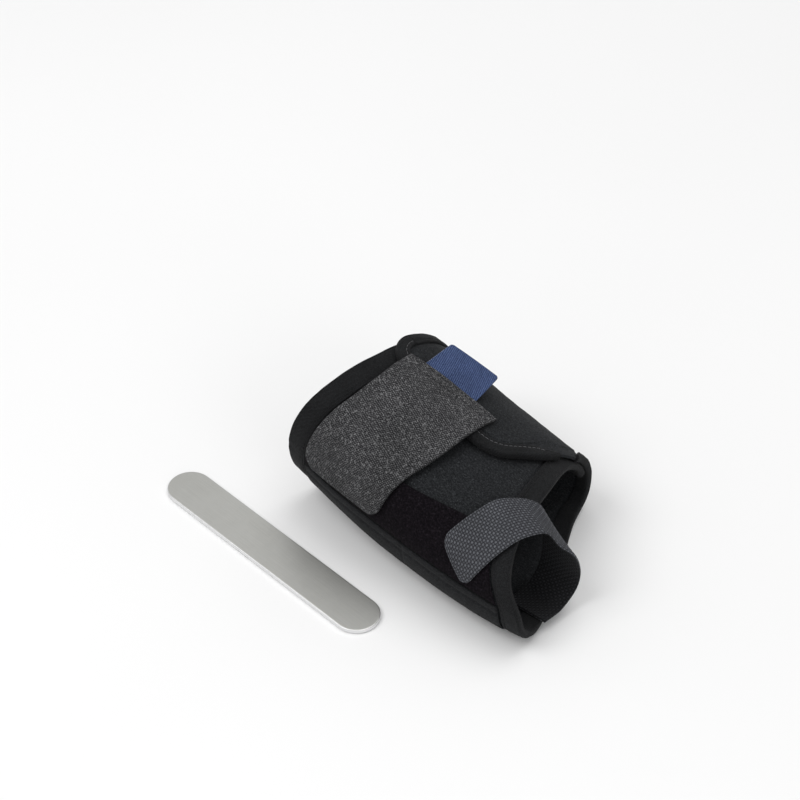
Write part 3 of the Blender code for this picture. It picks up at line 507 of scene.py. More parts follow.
def velvet_look():
    """Loop pile, nearly black and a little purple, with small bright flecks."""
    look = Look("velvet", 0.95, sheen=0.02, sheen_roughness=0.4, specular=0.06)
    fleck, gap = look.speckle(1900.0)
    pile = look.noise(1300.0, 4.0, 0.75)
    colour = look.ramp(pile, (0.38, (0.0022, 0.0017, 0.0024)), (0.54, (0.0062, 0.0048, 0.0064)),
                       (0.72, (0.016, 0.012, 0.016)))
    bright = look.ramp(fleck, (0.90, 0.0), (1.0, 1.0))
    look.colour(look.mix(look.times(bright, 0.22), colour, (0.045, 0.038, 0.046)))
    look.bump((pile, 0.00022), (gap, 0.00012), (look.noise(120.0, 2.0), 0.00020))
    return look.made


def plush_look():
    """Brushed loop webbing: salt-and-pepper fibres in fine slanted rows, with painted shade along its
    edges.
    """
    look = Look("plush", 0.9, sheen=0.04, sheen_roughness=0.5, specular=0.12)
    u, v = look.u, look.v
    shaken = look.math("MULTIPLY_ADD", look.noise(600.0, 2.0), 0.9, -0.45)
    slant = look.wave(look.math("MULTIPLY_ADD", v, 0.45, look.plus(u, shaken)), 1.05)
    rows = look.wave(look.math("MULTIPLY_ADD", u, -0.35, look.plus(v, shaken)), 0.90)
    weave = look.times(slant, rows)
    grain = look.noise(2300.0, 2.0, 0.8)
    fleck, gap = look.speckle(2500.0)
    tone = look.blend(grain, 0.62, weave, 0.38)
    colour = look.ramp(tone, (0.25, (0.009, 0.009, 0.010)), (0.42, (0.040, 0.040, 0.042)),
                       (0.64, (0.130, 0.130, 0.135)))
    salt = look.ramp(fleck, (0.82, 0.0), (0.97, 1.0))
    colour = look.mix(look.times(salt, 0.65), colour, (0.25, 0.25, 0.255))
    pepper = look.ramp(fleck, (0.04, 1.0), (0.20, 0.0))
    colour = look.mix(look.times(pepper, 0.65), colour, (0.006, 0.006, 0.007))
    colour = look.patched(colour, 55.0, 0.84, 1.12)
    # Painted shade: the strap is darkened within a millimetre of its edges, standing in for the shade
    # where its edges roll away and lift off the cloth.
    painted_edge_shade = look.ramp(look.rim, (0.0, 0.5), (1.0, 1.0))
    look.colour(look.mix(1.0, colour, painted_edge_shade, "MULTIPLY"))
    look.bump((weave, 0.00014), (grain, 0.00026), (gap, 0.00012))
    look.rough(grain, (0.3, 0.96), (0.8, 0.80))
    return look.made


def webbing_look():
    """Basket weave: bundles of threads that cross over and under, cell by cell."""
    look = Look("webbing", 0.8, sheen=0.04, sheen_roughness=0.45, specular=0.18)
    u, v = look.u, look.v
    across = look.math("SINE", look.times(u, math.pi / CELL))
    along = look.math("SINE", look.times(v, math.pi / CELL))
    cell = look.times(across, along)
    over = look.math("GREATER_THAN", cell, 0.0)
    fine_u, fine_v = look.wave(u, CELL / 3), look.wave(v, CELL / 3)
    threads = look.blend(over, fine_u, look.math("SUBTRACT", 1.0, over), fine_v)
    gap = look.math("POWER", look.math("ABSOLUTE", cell), 0.5)
    grain = look.noise(1600.0, 3.0, 0.75)
    tone = look.times(gap, look.math("MULTIPLY_ADD", threads, 0.35, 0.65))
    tone = look.math("MULTIPLY_ADD", grain, 0.40, look.times(tone, 0.60))
    lifted = look.math("MULTIPLY_ADD", over, 0.16, tone)
    colour = look.ramp(lifted, (0.28, (0.010, 0.010, 0.013)), (0.58, (0.044, 0.046, 0.052)),
                       (0.90, (0.135, 0.140, 0.156)))
    colour = look.patched(colour, 60.0, 0.84, 1.14)
    inside = look.ramp(look.side, (0.4, 1.0), (0.6, 0.22))
    look.colour(look.mix(1.0, colour, inside, "MULTIPLY"))
    look.bump((gap, 0.00014), (threads, 0.00005), (grain, 0.00008))
    look.rough(grain, (0.3, 0.90), (0.8, 0.68))
    return look.made


def label_look():
    """Ribbed woven cloth, plain blue, with pale threads along its short rear edge."""
    look = Look("label_cloth", 0.75, sheen=0.04, sheen_roughness=0.4, specular=0.18)
    u, v = look.u, look.v
    shaken = look.math("MULTIPLY_ADD", look.noise(900.0, 2.0), 0.5, -0.25)
    ribs = look.wave(look.math("MULTIPLY_ADD", v, 0.35, look.plus(u, shaken)), 0.86)
    picks = look.wave(look.plus(v, shaken), 0.62)
    grain = look.noise(1500.0, 3.0, 0.75)
    tone = look.blend(ribs, 0.28, picks, 0.14)
    tone = look.math("MULTIPLY_ADD", grain, 0.58, tone)
    colour = look.ramp(tone, (0.30, (0.015, 0.024, 0.062)), (0.50, (0.036, 0.058, 0.140)),
                       (0.70, (0.088, 0.130, 0.260)))
    colour = look.patched(colour, 110.0, 0.88, 1.10)
    end = look.ramp(look.times(u, 0.1), (0.03, 1.0), (0.07, 0.0))
    threads = look.times(end, look.ramp(look.wave(v, 1.1), (0.45, 0.0), (0.75, 1.0)))
    look.colour(look.mix(threads, colour, (0.50, 0.52, 0.58)))
    look.bump((ribs, 0.00012), (picks, 0.00008), (grain, 0.00008))
    look.rough(grain, (0.3, 0.86), (0.8, 0.66))
    return look.made


def aluminium_look():
    """Satin aluminium: fine marks along the bar, a few light scuffs, and a painted highlight along its
    rounded edges.
    """
    look = Look("satin_metal", 0.42, metallic=1.0, specular=0.5)
    brushed = look.noise(1.0, 3.0, 0.6, vector=look.cloth, stretch=(0.05, 5.0, 1.0))
    cloud = look.noise(60.0, 3.0, 0.6)
    scuff = look.noise(1.0, 4.0, 0.7, vector=look.cloth, stretch=(0.25, 0.9, 1.0))
    tone = look.blend(brushed, 0.55, cloud, 0.45)
    colour = look.ramp(tone, (0.30, (0.50, 0.50, 0.475)), (0.70, (0.62, 0.62, 0.595)))
    # Painted highlight: the rounded edges are lightened towards pale grey, standing in for the light
    # they catch.
    bright = look.ramp(look.rim, (0.15, 1.0), (0.55, 0.0))
    marks = look.ramp(scuff, (0.66, 0.0), (0.72, 0.35))
    colour = look.mix(marks, colour, (0.72, 0.72, 0.70))
    look.colour(look.mix(look.times(bright, 0.8), colour, (0.84, 0.84, 0.85)))
    look.bump((brushed, 0.000015), (cloud, 0.00003))
    look.rough(tone, (0.3, 0.50), (0.7, 0.38))
    return look.made


def thread_look(name, dark, light):
    look = Look(name, 0.7, sheen=0.02, specular=0.2)
    u, v = look.u, look.v
    twist = look.wave(look.plus(u, v), 0.45)
    grain = look.noise(3000.0, 2.0)
    tone = look.blend(twist, 0.6, grain, 0.4)
    look.colour(look.ramp(tone, (0.25, dark), (0.75, light)))
    look.bump((twist, 0.00006))
    return look.made


# Pieces

def finish_piece(name, vertices, faces, cloth, rim, look, node=None, angle=50.0):
    """A mesh object with its two maps, its material, its body and its CAD node."""
    mesh = bpy.data.meshes.new(name)
    mesh.from_pydata(vertices.tolist(), [], faces)
    index = np.zeros(len(mesh.loops), dtype=np.int32)
    mesh.loops.foreach_get("vertex_index", index)
    for title, values in (("cloth", cloth), ("rim", rim)):
        layer = mesh.uv_layers.new(name=title)
        layer.data.foreach_set("uv", np.asarray(values, np.float32)[index].ravel())
    mesh.materials.append(look)
    mesh.validate()
    mesh.shade_smooth()
    mesh.set_sharp_from_angle(angle=math.radians(angle))
    piece = bpy.data.objects.new(name, mesh)
    bpy.context.scene.collection.objects.link(piece)
    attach(piece, "root")
    if node is not None:
        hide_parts(node)
    return piece


def distances(points, axis):
    """Millimetres travelled along one direction of a grid, averaged over the other."""
    steps = np.linalg.norm(np.diff(points, axis=axis), axis=2).mean(axis=1 - axis)
    return 1000.0 * travelled(steps)


def tube_faces(rows, columns):
    """The faces of a closed tube: quads round each pair of rows, and an end face at each end."""
    grid = np.arange(rows * columns).reshape(rows, columns)
    after = np.roll(grid, -1, axis=1)
    quads = np.stack((grid[:-1], after[:-1], after[1:], grid[1:]), axis=-1)
    return [*quads.reshape(-1, 4).tolist(), grid[0, ::-1].tolist(), grid[-1].tolist()]


def border_of(points):
    """Distance of each grid point from the grid's nearest edge, in metres."""
    u, v = distances(points, 1) / 1000.0, distances(points, 0) / 1000.0
    return np.minimum(np.minimum(u, u[-1] - u)[None, :], np.minimum(v, v[-1] - v)[:, None])


def slab(name, low, high, look, node):
    """A closed slab between two grids. Rows run round (v) and columns run along (u)."""
    rows, columns = low.shape[:2]
    count = rows * columns
    grid = np.arange(count).reshape(rows, columns)
    a, b, c, d = grid[:-1, :-1], grid[:-1, 1:], grid[1:, 1:], grid[1:, :-1]
    under = np.stack((a, d, c, b), axis=-1).reshape(-1, 4)
    over = np.stack((a, b, c, d), axis=-1).reshape(-1, 4) + count
    ring = np.concatenate((grid[0, :-1], grid[:-1, -1], grid[-1, :0:-1], grid[:0:-1, 0]))
    after = np.roll(ring, -1)
    sides = np.stack((ring, after, after + count, ring + count), axis=-1)
    faces = np.concatenate((under, over, sides)).tolist()
    u, v, border = distances(high, 1), distances(high, 0), 1000.0 * border_of(high).reshape(-1)
    cloth = np.stack(np.broadcast_arrays(u[None, :], v[:, None]), axis=-1).reshape(-1, 2)
    rim = np.stack((np.tile(border, 2), np.repeat((1.0, 0.0), count)), axis=-1)
    vertices = np.concatenate((low.reshape(-1, 3), high.reshape(-1, 3)))
    return finish_piece(
        name, vertices, faces, np.concatenate((cloth, cloth)), rim, look, node)


def fine_noise(shape, cell, seed):
    """Smooth seeded noise on a grid, about 0 with a spread of 1; cell is in grid steps."""
    random = np.random.default_rng(SEED + seed)
    coarse = random.standard_normal((int(shape[0] / cell) + 4, int(shape[1] / cell) + 4))
    row = np.linspace(1.0, coarse.shape[0] - 2.001, shape[0])
    column = np.linspace(1.0, coarse.shape[1] - 2.001, shape[1])
    i, j = row.astype(int), column.astype(int)
    a, b = smooth(row - i)[:, None], smooth(column - j)[None, :]
    low = coarse[np.ix_(i, j)] * (1 - b) + coarse[np.ix_(i, j + 1)] * b
    high = coarse[np.ix_(i + 1, j)] * (1 - b) + coarse[np.ix_(i + 1, j + 1)] * b
    return low * (1 - a) + high * a


def edge_factor(distance, radius):
    """0.15 at a rim and 1 from a radius inwards, as a quarter circle."""
    t = np.clip(1.0 - distance / radius, 0.0, 1.0)
    return np.maximum(np.sqrt(np.maximum(1.0 - t * t, 0.0)), 0.15)


def stitch_line(points, normals):
    """Small threads in a row along a line: vertices, faces and map."""
    rings, sides, sink = 7, 6, 0.35
    run = line_lengths(points)
    angle = 2 * math.pi * np.arange(sides)[:, None] / sides
    t = np.linspace(-1.0, 1.0, rings)
    thick = STITCH_RADIUS * np.sqrt(np.maximum(1.0 - t ** 6, 0.05))[:, None, None]
    dip = STITCH_RADIUS * (sink - 1.6 * np.abs(t) ** 3)[:, None]
    vertices, faces, cloth = [], [], []
    for k in range(int((run[-1] - STITCH_LENGTH) / STITCH_PITCH) + 1):
        where = k * STITCH_PITCH + np.linspace(0.0, STITCH_LENGTH, rings)
        centre = np.stack([np.interp(where, run, points[:, c]) for c in range(3)], axis=-1)
        normal = unit(np.stack([np.interp(where, run, normals[:, c]) for c in range(3)], axis=-1))
        side = np.cross(unit(np.gradient(centre, axis=0)), normal)
        around = side[:, None] * np.cos(angle) + normal[:, None] * np.sin(angle)
        start = k * rings * sides
        vertices.append(((centre + normal * dip)[:, None] + thick * around).reshape(-1, 3))
        across = 1000.0 * STITCH_RADIUS * angle[:, 0]
        cloth.append(np.stack(np.broadcast_arrays(1000.0 * where[:, None], across), axis=-1))
        faces += [[start + corner for corner in face] for face in tube_faces(rings, sides)]
    return np.concatenate(vertices), faces, np.concatenate(cloth).reshape(-1, 2)


def stitches(name, lines, look):
    """One piece from several stitched lines."""
    vertices, faces, cloth, start = [], [], [], 0
    for line in lines:
        v, f, c = stitch_line(*line)
        vertices.append(v)
        cloth.append(c)
        faces += [[start + corner for corner in face] for face in f]
        start += len(v)
    cloth = np.concatenate(cloth)
    return finish_piece(
        name, np.concatenate(vertices), faces, cloth, np.full_like(cloth, 2.0), look)


def column_along(kind, value, turn):
    """Where a column of the wrap runs: kind -1 is the rear seam, 1 the front seam, 0 between."""
    rear, front = rear_edge(turn), front_edge(turn)
    rear_width = binding_width(REAR_BINDING_WIDTH, turn) + CLEARANCE
    front_width = binding_width(FRONT_BINDING_WIDTH, turn) + CLEARANCE
    at_rear = rear + SEWN_INSET + value * (rear_width - SEWN_INSET)
    at_front = front - SEWN_INSET - value * (front_width - SEWN_INSET)
    start, end = rear + rear_width, front - front_width
    between = start + value * (end - start)
    return np.where(kind < 0, at_rear, np.where(kind > 0, at_front, between))


DITCH = 2 * (WRAP_THICKNESS - SEWN_OUTER)


def flap_ends(kind, value, inset):
    """The turn at which each column ends, at an inset from the flap's free edge."""
    turn = np.full(kind.shape, FLAP_GUESS)
    for _ in range(ROUNDS):
        along = column_along(kind, value, turn)
        distance = along - rear_edge(turn)
        corner = CORNER_TURN - corner_drop(distance, inset) / PER_TURN
        _, inward = edge_slope(along)
        free = flap_turn_at(along, turn) - inset / np.abs(inward) / PER_TURN
        target = np.where((kind < 0) | (distance < FLAP_CORNER), corner, free)
        turn = turn + 0.5 * (target - turn)
    last = float(min(turn[-1], BLUNT_TURN))
    seam = kind > 0
    turn[seam] = turn[seam][0] + (last - turn[seam][0]) * (1.0 - value[seam])
    return turn


def build_wrap(look):
    """The wrap: thinned where it runs into the tapes, and plain along the flat sole."""
    body = np.concatenate((np.linspace(0.0, 0.018, 5), np.linspace(0.018, 0.982, 84)[1:-1],
                           np.linspace(0.982, 1.0, 5)))
    kind = np.concatenate((-np.ones(5), np.zeros(len(body)), np.ones(5)))
    value = np.concatenate((np.linspace(0.0, 0.98, 5), body, np.linspace(0.98, 0.0, 5)))
    sewn = FLAP_BINDING_WIDTH + CLEARANCE
    rows = [(np.full(kind.shape, t), 0.0) for t in np.linspace(HIDDEN_END_TURN, FLAP_START_TURN, 281)]
    ends = flap_ends(kind, value, sewn + DITCH)
    rows += [(FLAP_START_TURN + share * (ends - FLAP_START_TURN), 0.0)
             for share in np.linspace(0.0, 1.0, 50)[1:]]
    seam = flap_ends(kind, value, sewn)
    edge_ends = flap_ends(kind, value, SEWN_INSET)
    quarters = (0.25, 0.5, 0.75, 1.0)
    rows += [(ends + share * (seam - ends), share) for share in quarters]
    rows += [(seam + share * (edge_ends - seam), 1.0) for share in quarters]
    turn = np.array([row[0] for row in rows])
    along = column_along(kind, value, turn)
    rear = along - rear_edge(turn) - binding_width(REAR_BINDING_WIDTH, turn) - CLEARANCE
    front = front_edge(turn) - along - binding_width(FRONT_BINDING_WIDTH, turn) - CLEARANCE
    near = np.minimum(rear, front)
    thin = np.maximum(1.0 - smooth(near / DITCH), np.array([row[1] for row in rows])[:, None])
    # Small puckers where the cloth runs into the seams
    fading = PUCKER_HEIGHT * np.exp(-np.maximum(near, 0.0) / PUCKER_REACH) * (1.0 - thin)
    pucker = fading * np.sin(2 * math.pi * 1000.0 * PER_TURN * turn / PUCKER_PITCH)
    texture = 0.00005 * fine_noise(turn.shape, 4.0, 1) * (1.0 - thin)
    sole = smooth((np.abs(np.mod(turn, 4.0) - 2.0) - 0.3) / 0.4)
    low = form.at(along, turn, SEWN_INNER * thin + sole * pucker)
    top = SEWN_OUTER * thin + WRAP_THICKNESS * (1.0 - thin) - 0.00012 * sole * (1.0 - thin)
    high = form.at(along, turn, top + sole * (pucker + texture))
    high[..., 2] = np.maximum(high[..., 2], 0.0)
    return slab("wrap_cloth", low, high, look, "wrap")


def tape_section(width, dimple):
    """Distance from the edge and height, round the folded tape. Width and dimple are arrays."""
    width, dimple = width[:, None], dimple[:, None]
    fold = np.linspace(-0.5 * math.pi, 0.5 * math.pi, 11)[1:-1]
    middle = 0.5 * (OUTER_FACE + INNER_FACE)
    reach = 0.5 * (OUTER_FACE - INNER_FACE)
    ones = np.ones_like(width)
    fold_d = TAPE_FOLD_REACH * (1.0 - np.cos(fold) ** 0.8) * ones
    fold_h = middle + reach * np.sign(np.sin(fold)) * np.abs(np.sin(fold)) ** 0.8 * ones
    crown = np.linspace(0.0, 1.0, 13)
    start = TAPE_FOLD_REACH
    crown_d = start + crown * (width - TAPE_LIP - start)
    seam = np.exp(-((width - SEAM_INSET - crown_d) / SEAM_HALF) ** 2)
    crown_h = OUTER_FACE - TAPE_LIP_STEP * (2 * crown - 1) ** 2 - dimple * seam
    lip = np.linspace(0.0, 0.5 * math.pi, 4)[1:]
    lip_d = width - TAPE_LIP + TAPE_LIP * np.sin(lip)
    lip_h = (OUTER_BASE + (OUTER_LEG - TAPE_LIP_STEP) * (0.12 + 0.88 * np.cos(lip))) * ones
    tail_d = np.concatenate((width, FOLD * ones, FOLD * ones, width, width - TAPE_TAIL), axis=1)
    tail_h = np.array((OUTER_BASE, OUTER_BASE, INNER_TOP, INNER_TOP, INNER_FACE)) * ones
    inner_d = start + np.linspace(1.0, 0.0, 5)[1:] * (width - TAPE_TAIL - start)
    inner_h = np.full_like(inner_d, INNER_FACE)
    return (np.concatenate((fold_d, crown_d, lip_d, tail_d, inner_d), axis=1),
            np.concatenate((fold_h, crown_h, lip_h, tail_h, inner_h), axis=1))


def tape(name, along, turn, inward_along, inward_round, width, look, node):
    """Sweeps the folded tape, with a dimple at each stitch. Returns its seam line and normals."""
    run = line_lengths(form.at(along, turn, OUTER_FACE))
    dimple = 0.00022 + 0.00012 * np.cos(2 * math.pi * run / STITCH_PITCH)
    narrow = smooth((width - 0.0030) / 0.0020)
    distance, height = tape_section(width, dimple * narrow)
    place = along[:, None] + inward_along[:, None] * distance
    where = turn[:, None] + inward_round[:, None] * distance / PER_TURN
    wobble = 0.00006 * fine_noise(distance.shape, 5.0, len(name))
    points = form.at(place, where, height + wobble * (height > OUTER_BASE + 0.0002))
    points[..., 2] = np.maximum(points[..., 2], 0.00025)
    faces = tube_faces(*distance.shape)
    middle = len(run) // 2
    section = 1000.0 * travelled(np.hypot(np.diff(distance[middle]), np.diff(height[middle])))
    cloth = np.stack(np.broadcast_arrays(1000.0 * run[:, None], section[None, :]), axis=-1)
    rim = np.stack((1000.0 * (width[:, None] - distance), (height < OUTER_BASE) * 1.0), axis=-1)
    finish_piece(name, points.reshape(-1, 3), faces, cloth.reshape(-1, 2), rim.reshape(-1, 2),
                 look, node, 60.0)
    keep = width > 0.0045
    seam_distance = width - SEAM_INSET
    seam_along = (along + inward_along * seam_distance)[keep]
    seam_turn = (turn + inward_round * seam_distance / PER_TURN)[keep]
    seam = form.at(seam_along, seam_turn, OUTER_FACE - 0.00018)
    return seam, form.normal(seam_along, seam_turn)


def build_tapes(look):
    """The three bound edges. Returns the seam line of each."""
    end = CORNER_START - CLEARANCE / PER_TURN
    turn = np.linspace(HIDDEN_END_TURN, end, 520)
    ones = np.ones_like(turn)
    rear = tape("rear_tape", rear_edge(turn), turn, ones, 0 * ones,
                binding_width(REAR_BINDING_WIDTH, turn), look, "rear_binding")
    turn = np.linspace(HIDDEN_END_TURN, BLUNT_TURN, 520)
    width = np.minimum(binding_width(FRONT_BINDING_WIDTH, turn),
                       np.maximum(TIP_TURN - turn, 0.0) * PER_TURN * MITRE - CLEARANCE)
    front = tape("front_tape", front_edge(turn), turn, -ones, 0 * ones, width, look,
                 "front_binding")
    angle = np.linspace(0.0, 0.5 * math.pi, 36)
    corner_turn = CORNER_START + FLAP_CORNER * np.sin(angle) / PER_TURN
    corner_along = rear_edge(corner_turn) + FLAP_CORNER * (1.0 - np.cos(angle))
    tip_along = float(front_edge(TIP_TURN))
    along = np.linspace(corner_along[-1], tip_along, 260)[1:]
    turn = solve_flap_turn(along)
    inward_along, inward_round = edge_slope(along)
    to_tip = np.hypot(tip_along - along, (turn - TIP_TURN) * PER_TURN)
    keep = to_tip > FLAP_TIP_BLUNTING
    width = np.minimum(FLAP_BINDING_WIDTH, to_tip * MITRE - CLEARANCE)
    flap = tape(
        "flap_tape",
        np.concatenate((corner_along, along[keep])),
        np.concatenate((corner_turn, turn[keep])),
        np.concatenate((np.cos(angle), inward_along[keep])),
        np.concatenate((-np.sin(angle), inward_round[keep])),
        np.concatenate((np.full(36, FLAP_BINDING_WIDTH), width[keep])),
        look, "flap_binding")
    return rear, front, flap


def panel_ends(turn):
    """The two ends of the layers on the inner side, clear of the bindings."""
    margin = 2 * CLEARANCE
    rear = rear_edge(turn) + binding_width(REAR_BINDING_WIDTH, turn) + margin
    return rear, front_edge(turn) - binding_width(FRONT_BINDING_WIDTH, turn) - margin


def panel_place(length_share, height_share):
    turn = np.full(np.broadcast(length_share, height_share).shape, PANEL_GUESS)
    for _ in range(PANEL_ROUNDS):
        rear, front = panel_ends(turn)
        along = rear + length_share * (front - rear)
        top = lookup(LOOP_PANEL, 1, along / WRAP_LENGTH)
        bottom = lookup(LOOP_PANEL, 2, along / WRAP_LENGTH)
        turn = top + height_share * (bottom - top)
    return along, turn


def laid_slab(name, along, turn, base, thickness, relief, look, node):
    """A thin layer on the form with rounded edges, and its outer face, which relief lowers."""
    middle = form.at(along, turn, base + 0.5 * thickness)
    factor = edge_factor(border_of(middle), 0.5 * thickness)
    low = form.at(along, turn, base + 0.5 * thickness * (1.0 - factor))
    high = form.at(along, turn, base + 0.5 * thickness * (1.0 + factor) - relief)
    return slab(name, low, high, look, node), high


def build_panels(velvet, band):
    """The loop panel, and under it the stay's band."""
    height = np.linspace(0.0, 1.0, 60)[:, None]
    length = np.linspace(0.0, 1.0, 210)[None, :]
    along, turn = panel_place(length, height)
    pile = 0.00009 * np.abs(fine_noise(turn.shape, 2.0, 2))
    panel, _ = laid_slab("velvet_panel", along, turn, PANEL_BASE, PANEL_THICKNESS, pile, velvet,
                         "loop_panel")
    # The stay's band: a raised upper fold, then the flat pocket, and a seam across it
    _, top = panel_place(np.linspace(0.0, 1.0, 230)[None, :], np.ones((1, 1)))
    share = np.linspace(0.0, 1.0, 64)[:, None]
    turn = top + POCKET_GAP_TURN + POCKET_TURNS * share
    rear, front = panel_ends(turn)
    along = rear + np.linspace(0.0, 1.0, 230)[None, :] * (front - rear)
    fold = np.exp(-((share - 0.16) / 0.035) ** 2)
    cross = np.exp(-((along - POCKET_SEAM) / 0.0007) ** 2)
    relief = 0.00032 * np.maximum(fold, cross) + 0.00004 * np.abs(fine_noise(turn.shape, 3.0, 3))
    pocket, _ = laid_slab("pocket_band", along, turn, PANEL_BASE, POCKET_THICKNESS, relief, band,
                          "stay_pocket")
    return panel, pocket


def rounded_half(half, corner, distance):
    cut = corner - np.sqrt(np.maximum(corner ** 2 - np.maximum(corner - distance, 0.0) ** 2, 0.0))
    return half - np.where(distance < corner, cut, 0.0)


def instep_place(turn, offset):
    part = (turn - INSTEP_SEWN_TURN) / (INSTEP_FREE_TURN - INSTEP_SEWN_TURN)
    slant = INSTEP_SEWN_SLANT * (1.0 - part) + INSTEP_FREE_SLANT * part
    where = turn - offset / INSTEP_WIDTH * slant
    centre = lookup(INSTEP_STRAP, 1, where)
    return centre * WRAP_LENGTH + offset, where


def instep_base(turn):
    """The height of the wide strap's underside, which steps up over the flap."""
    rise = np.clip(lookup(INSTEP_STRAP, 2, turn), 0.0, 1.0)
    return LAID_BASE + rise * (STRAP_TOP_BASE - LAID_BASE)


def build_instep_strap(look):
    """The wide strap, and the two seam lines of its sewn end."""
    per_turn = form.turn_length(-0.18 * WRAP_LENGTH, 0.0, 1.0)
    corner = INSTEP_CORNER / per_turn
    turn = np.concatenate((
        np.linspace(INSTEP_SEWN_TURN, INSTEP_FREE_TURN - corner, 170),
        INSTEP_FREE_TURN - corner * (1.0 - np.sin(np.linspace(0.0, 0.5 * math.pi, 22)[1:])),
    ))[:, None]
    half = rounded_half(0.5 * INSTEP_WIDTH, INSTEP_CORNER, (INSTEP_FREE_TURN - turn) * per_turn)
    across = np.linspace(-1.0, 1.0, 116)[None, :]
    along, where = instep_place(turn, across * half)
    base = instep_base(where)
    middle = form.at(along, where, base + 0.5 * INSTEP_THICKNESS)
    from_end = distances(middle, 0)[:, None] / 1000.0
    seam = sum(np.exp(-((from_end - place) / STRAP_SEAM_HALF) ** 2) for place in STRAP_SEAMS)
    relief = STRAP_SEAM_DEPTH * seam + 0.00012 * np.abs(fine_noise(middle.shape[:2], 1.6, 4))
    strap, high = laid_slab("plush_strap", along, where, base, INSTEP_THICKNESS, relief, look,
                            "instep_strap")
    lines = []
    for place in STRAP_SEAMS:
        row = int(np.argmin(np.abs(from_end[:, 0] - place)))
        lines.append((high[row, 4:-4], form.normal(along[row, 4:-4], where[row, 4:-4])))
    return strap, lines


def toe_laid(side):
    """Rows on the loop panel, from the toe strap's free end: underside and top."""
    per_turn = form.turn_length(TOE_STRAP_LAID[2, 0] * WRAP_LENGTH, 0.0, 1.0)
    index = np.arange(len(TOE_STRAP_LAID), dtype=float)
    low, high = [], []
    for step in np.linspace(0.0, index[-1], 120):
        row = [curve(index, TOE_STRAP_LAID[:, k], step) for k in range(4)]
        rear = np.array((row[0] * WRAP_LENGTH, row[1] * per_turn))
        front = np.array((row[2] * WRAP_LENGTH, row[3] * per_turn))
        line = 0.5 * (rear + front) + side * unit(front - rear)
        for rows, height in ((low, LAID_BASE), (high, LAID_BASE + TOE_THICKNESS)):
            rows.append(form.at(line[:, 0], line[:, 1] / per_turn, height))
    return low, high


def toe_sewn(side):
    """Rows inside the front edge at the sole, to the sewn end: underside and top."""
    index = np.arange(len(TOE_STRAP_SEWN), dtype=float)
    top = INNER_FACE - CLEARANCE
    low, high = [], []
    for step in np.linspace(0.0, index[-1], 40):
        along = curve(index, TOE_STRAP_SEWN[:, 0], step) * WRAP_LENGTH + side[:, 0]
        turn = np.full(along.shape, curve(index, TOE_STRAP_SEWN[:, 1], step))
        low.append(form.at(along, turn, top - TOE_THICKNESS))
        high.append(form.at(along, turn, top))
    return low, high


def toe_free(side, keys):
    """Rows round the big toe's place, through keys that each hold a row's two ends."""
    index = np.arange(len(keys), dtype=float)
    steps = np.linspace(1.0, len(keys) - 2.0, 150)
    free = np.stack([curve(index, keys[:, k], steps) for k in range(6)], axis=-1)
    centres = 0.5 * (free[:, :3] + free[:, 3:])
    run = np.gradient(centres, axis=0)
    low, high = [], []
    for k in range(1, len(free) - 1):
        span = free[k, 3:] - free[k, :3]
        low.append(centres[k] + side * unit(span))
        high.append(low[-1] + unit(np.cross(span, run[k])) * TOE_THICKNESS)
    return low, high


def toe_rows():
    """The toe strap's underside and top, in rows from its free end to its sewn end."""
    half = 0.5 * TOE_WIDTH
    side = np.linspace(-1.0, 1.0, 81)[:, None] * half
    laid, sewn = toe_laid(side), toe_sewn(side)
    keys = [laid[0][k][[0, -1]].ravel() for k in (-40, -1)]
    for along, across, up, *angles in TOE_STRAP_FREE:
        centre = np.array((along * WRAP_LENGTH, across * WRAP_WIDTH, SOLE_STRAP_UP + up * WRAP_HEIGHT))
        yaw, slope = (math.radians(angle) for angle in angles)
        direction = np.array((math.cos(slope) * math.cos(yaw), math.cos(slope) * math.sin(yaw),
                              math.sin(slope)))
        keys.append(np.concatenate((centre - half * direction, centre + half * direction)))
    keys += [sewn[0][k][[0, -1]].ravel() for k in (0, 20)]
    free = toe_free(side, np.array(keys))
    return [np.array(a + b + c) for a, b, c in zip(laid, free, sewn)]


def smooth_rows(grid, width):
    """A moving average over rows that leaves the ends in place."""
    weights = np.exp(-0.5 * (np.arange(-3 * width, 3 * width + 1) / width) ** 2)
    weights /= weights.sum()
    pad = 3 * width
    first = 2 * grid[:1] - grid[1:pad + 1][::-1]
    last = 2 * grid[-1:] - grid[-pad - 1:-1][::-1]
    padded = np.concatenate((first, grid, last))
    return sum(w * padded[k:k + len(grid)] for k, w in enumerate(weights))


def build_toe_strap(look):
    """The narrow strap, with its rows spread evenly along it."""
    low, high = toe_rows()
    outward, middle = high - low, 0.5 * (low + high)
    run = distances(middle, 0) / 1000.0
    rows = int(run[-1] / 0.0003)
    even = np.linspace(0.0, run[-1], rows)

    def resample(grid):
        flat = grid.reshape(len(run), -1)
        out = np.stack([np.interp(even, run, flat[:, k]) for k in range(flat.shape[1])], axis=-1)
        return out.reshape(rows, grid.shape[1], 3)

    middle, outward = smooth_rows(resample(middle), 5), smooth_rows(resample(outward), 5)
    outward = unit(outward)
    # The free end is rounded, so its rows are narrowed about their middle
    half = rounded_half(0.5 * TOE_WIDTH, TOE_CORNER, even)[:, None, None] / (0.5 * TOE_WIDTH)
    centre = middle[:, 40:41]
    middle = centre + (middle - centre) * half
    factor = edge_factor(border_of(middle), 0.5 * TOE_THICKNESS)[..., None]
    across = np.linspace(0.0, 1000.0 * TOE_WIDTH, middle.shape[1])[None, :]
    length = 1000.0 * even[:, None]
    weave = np.sin(across * math.pi / CELL) * np.sin(length * math.pi / CELL)
    relief = 0.00010 * (1.0 - weave)[..., None] * (factor > 0.9)
    reach = 0.5 * TOE_THICKNESS * factor
    high = middle + outward * (reach - relief)
    low = middle - outward * (reach - relief)
    return slab("webbing_strap", low, high, look, "toe_strap")


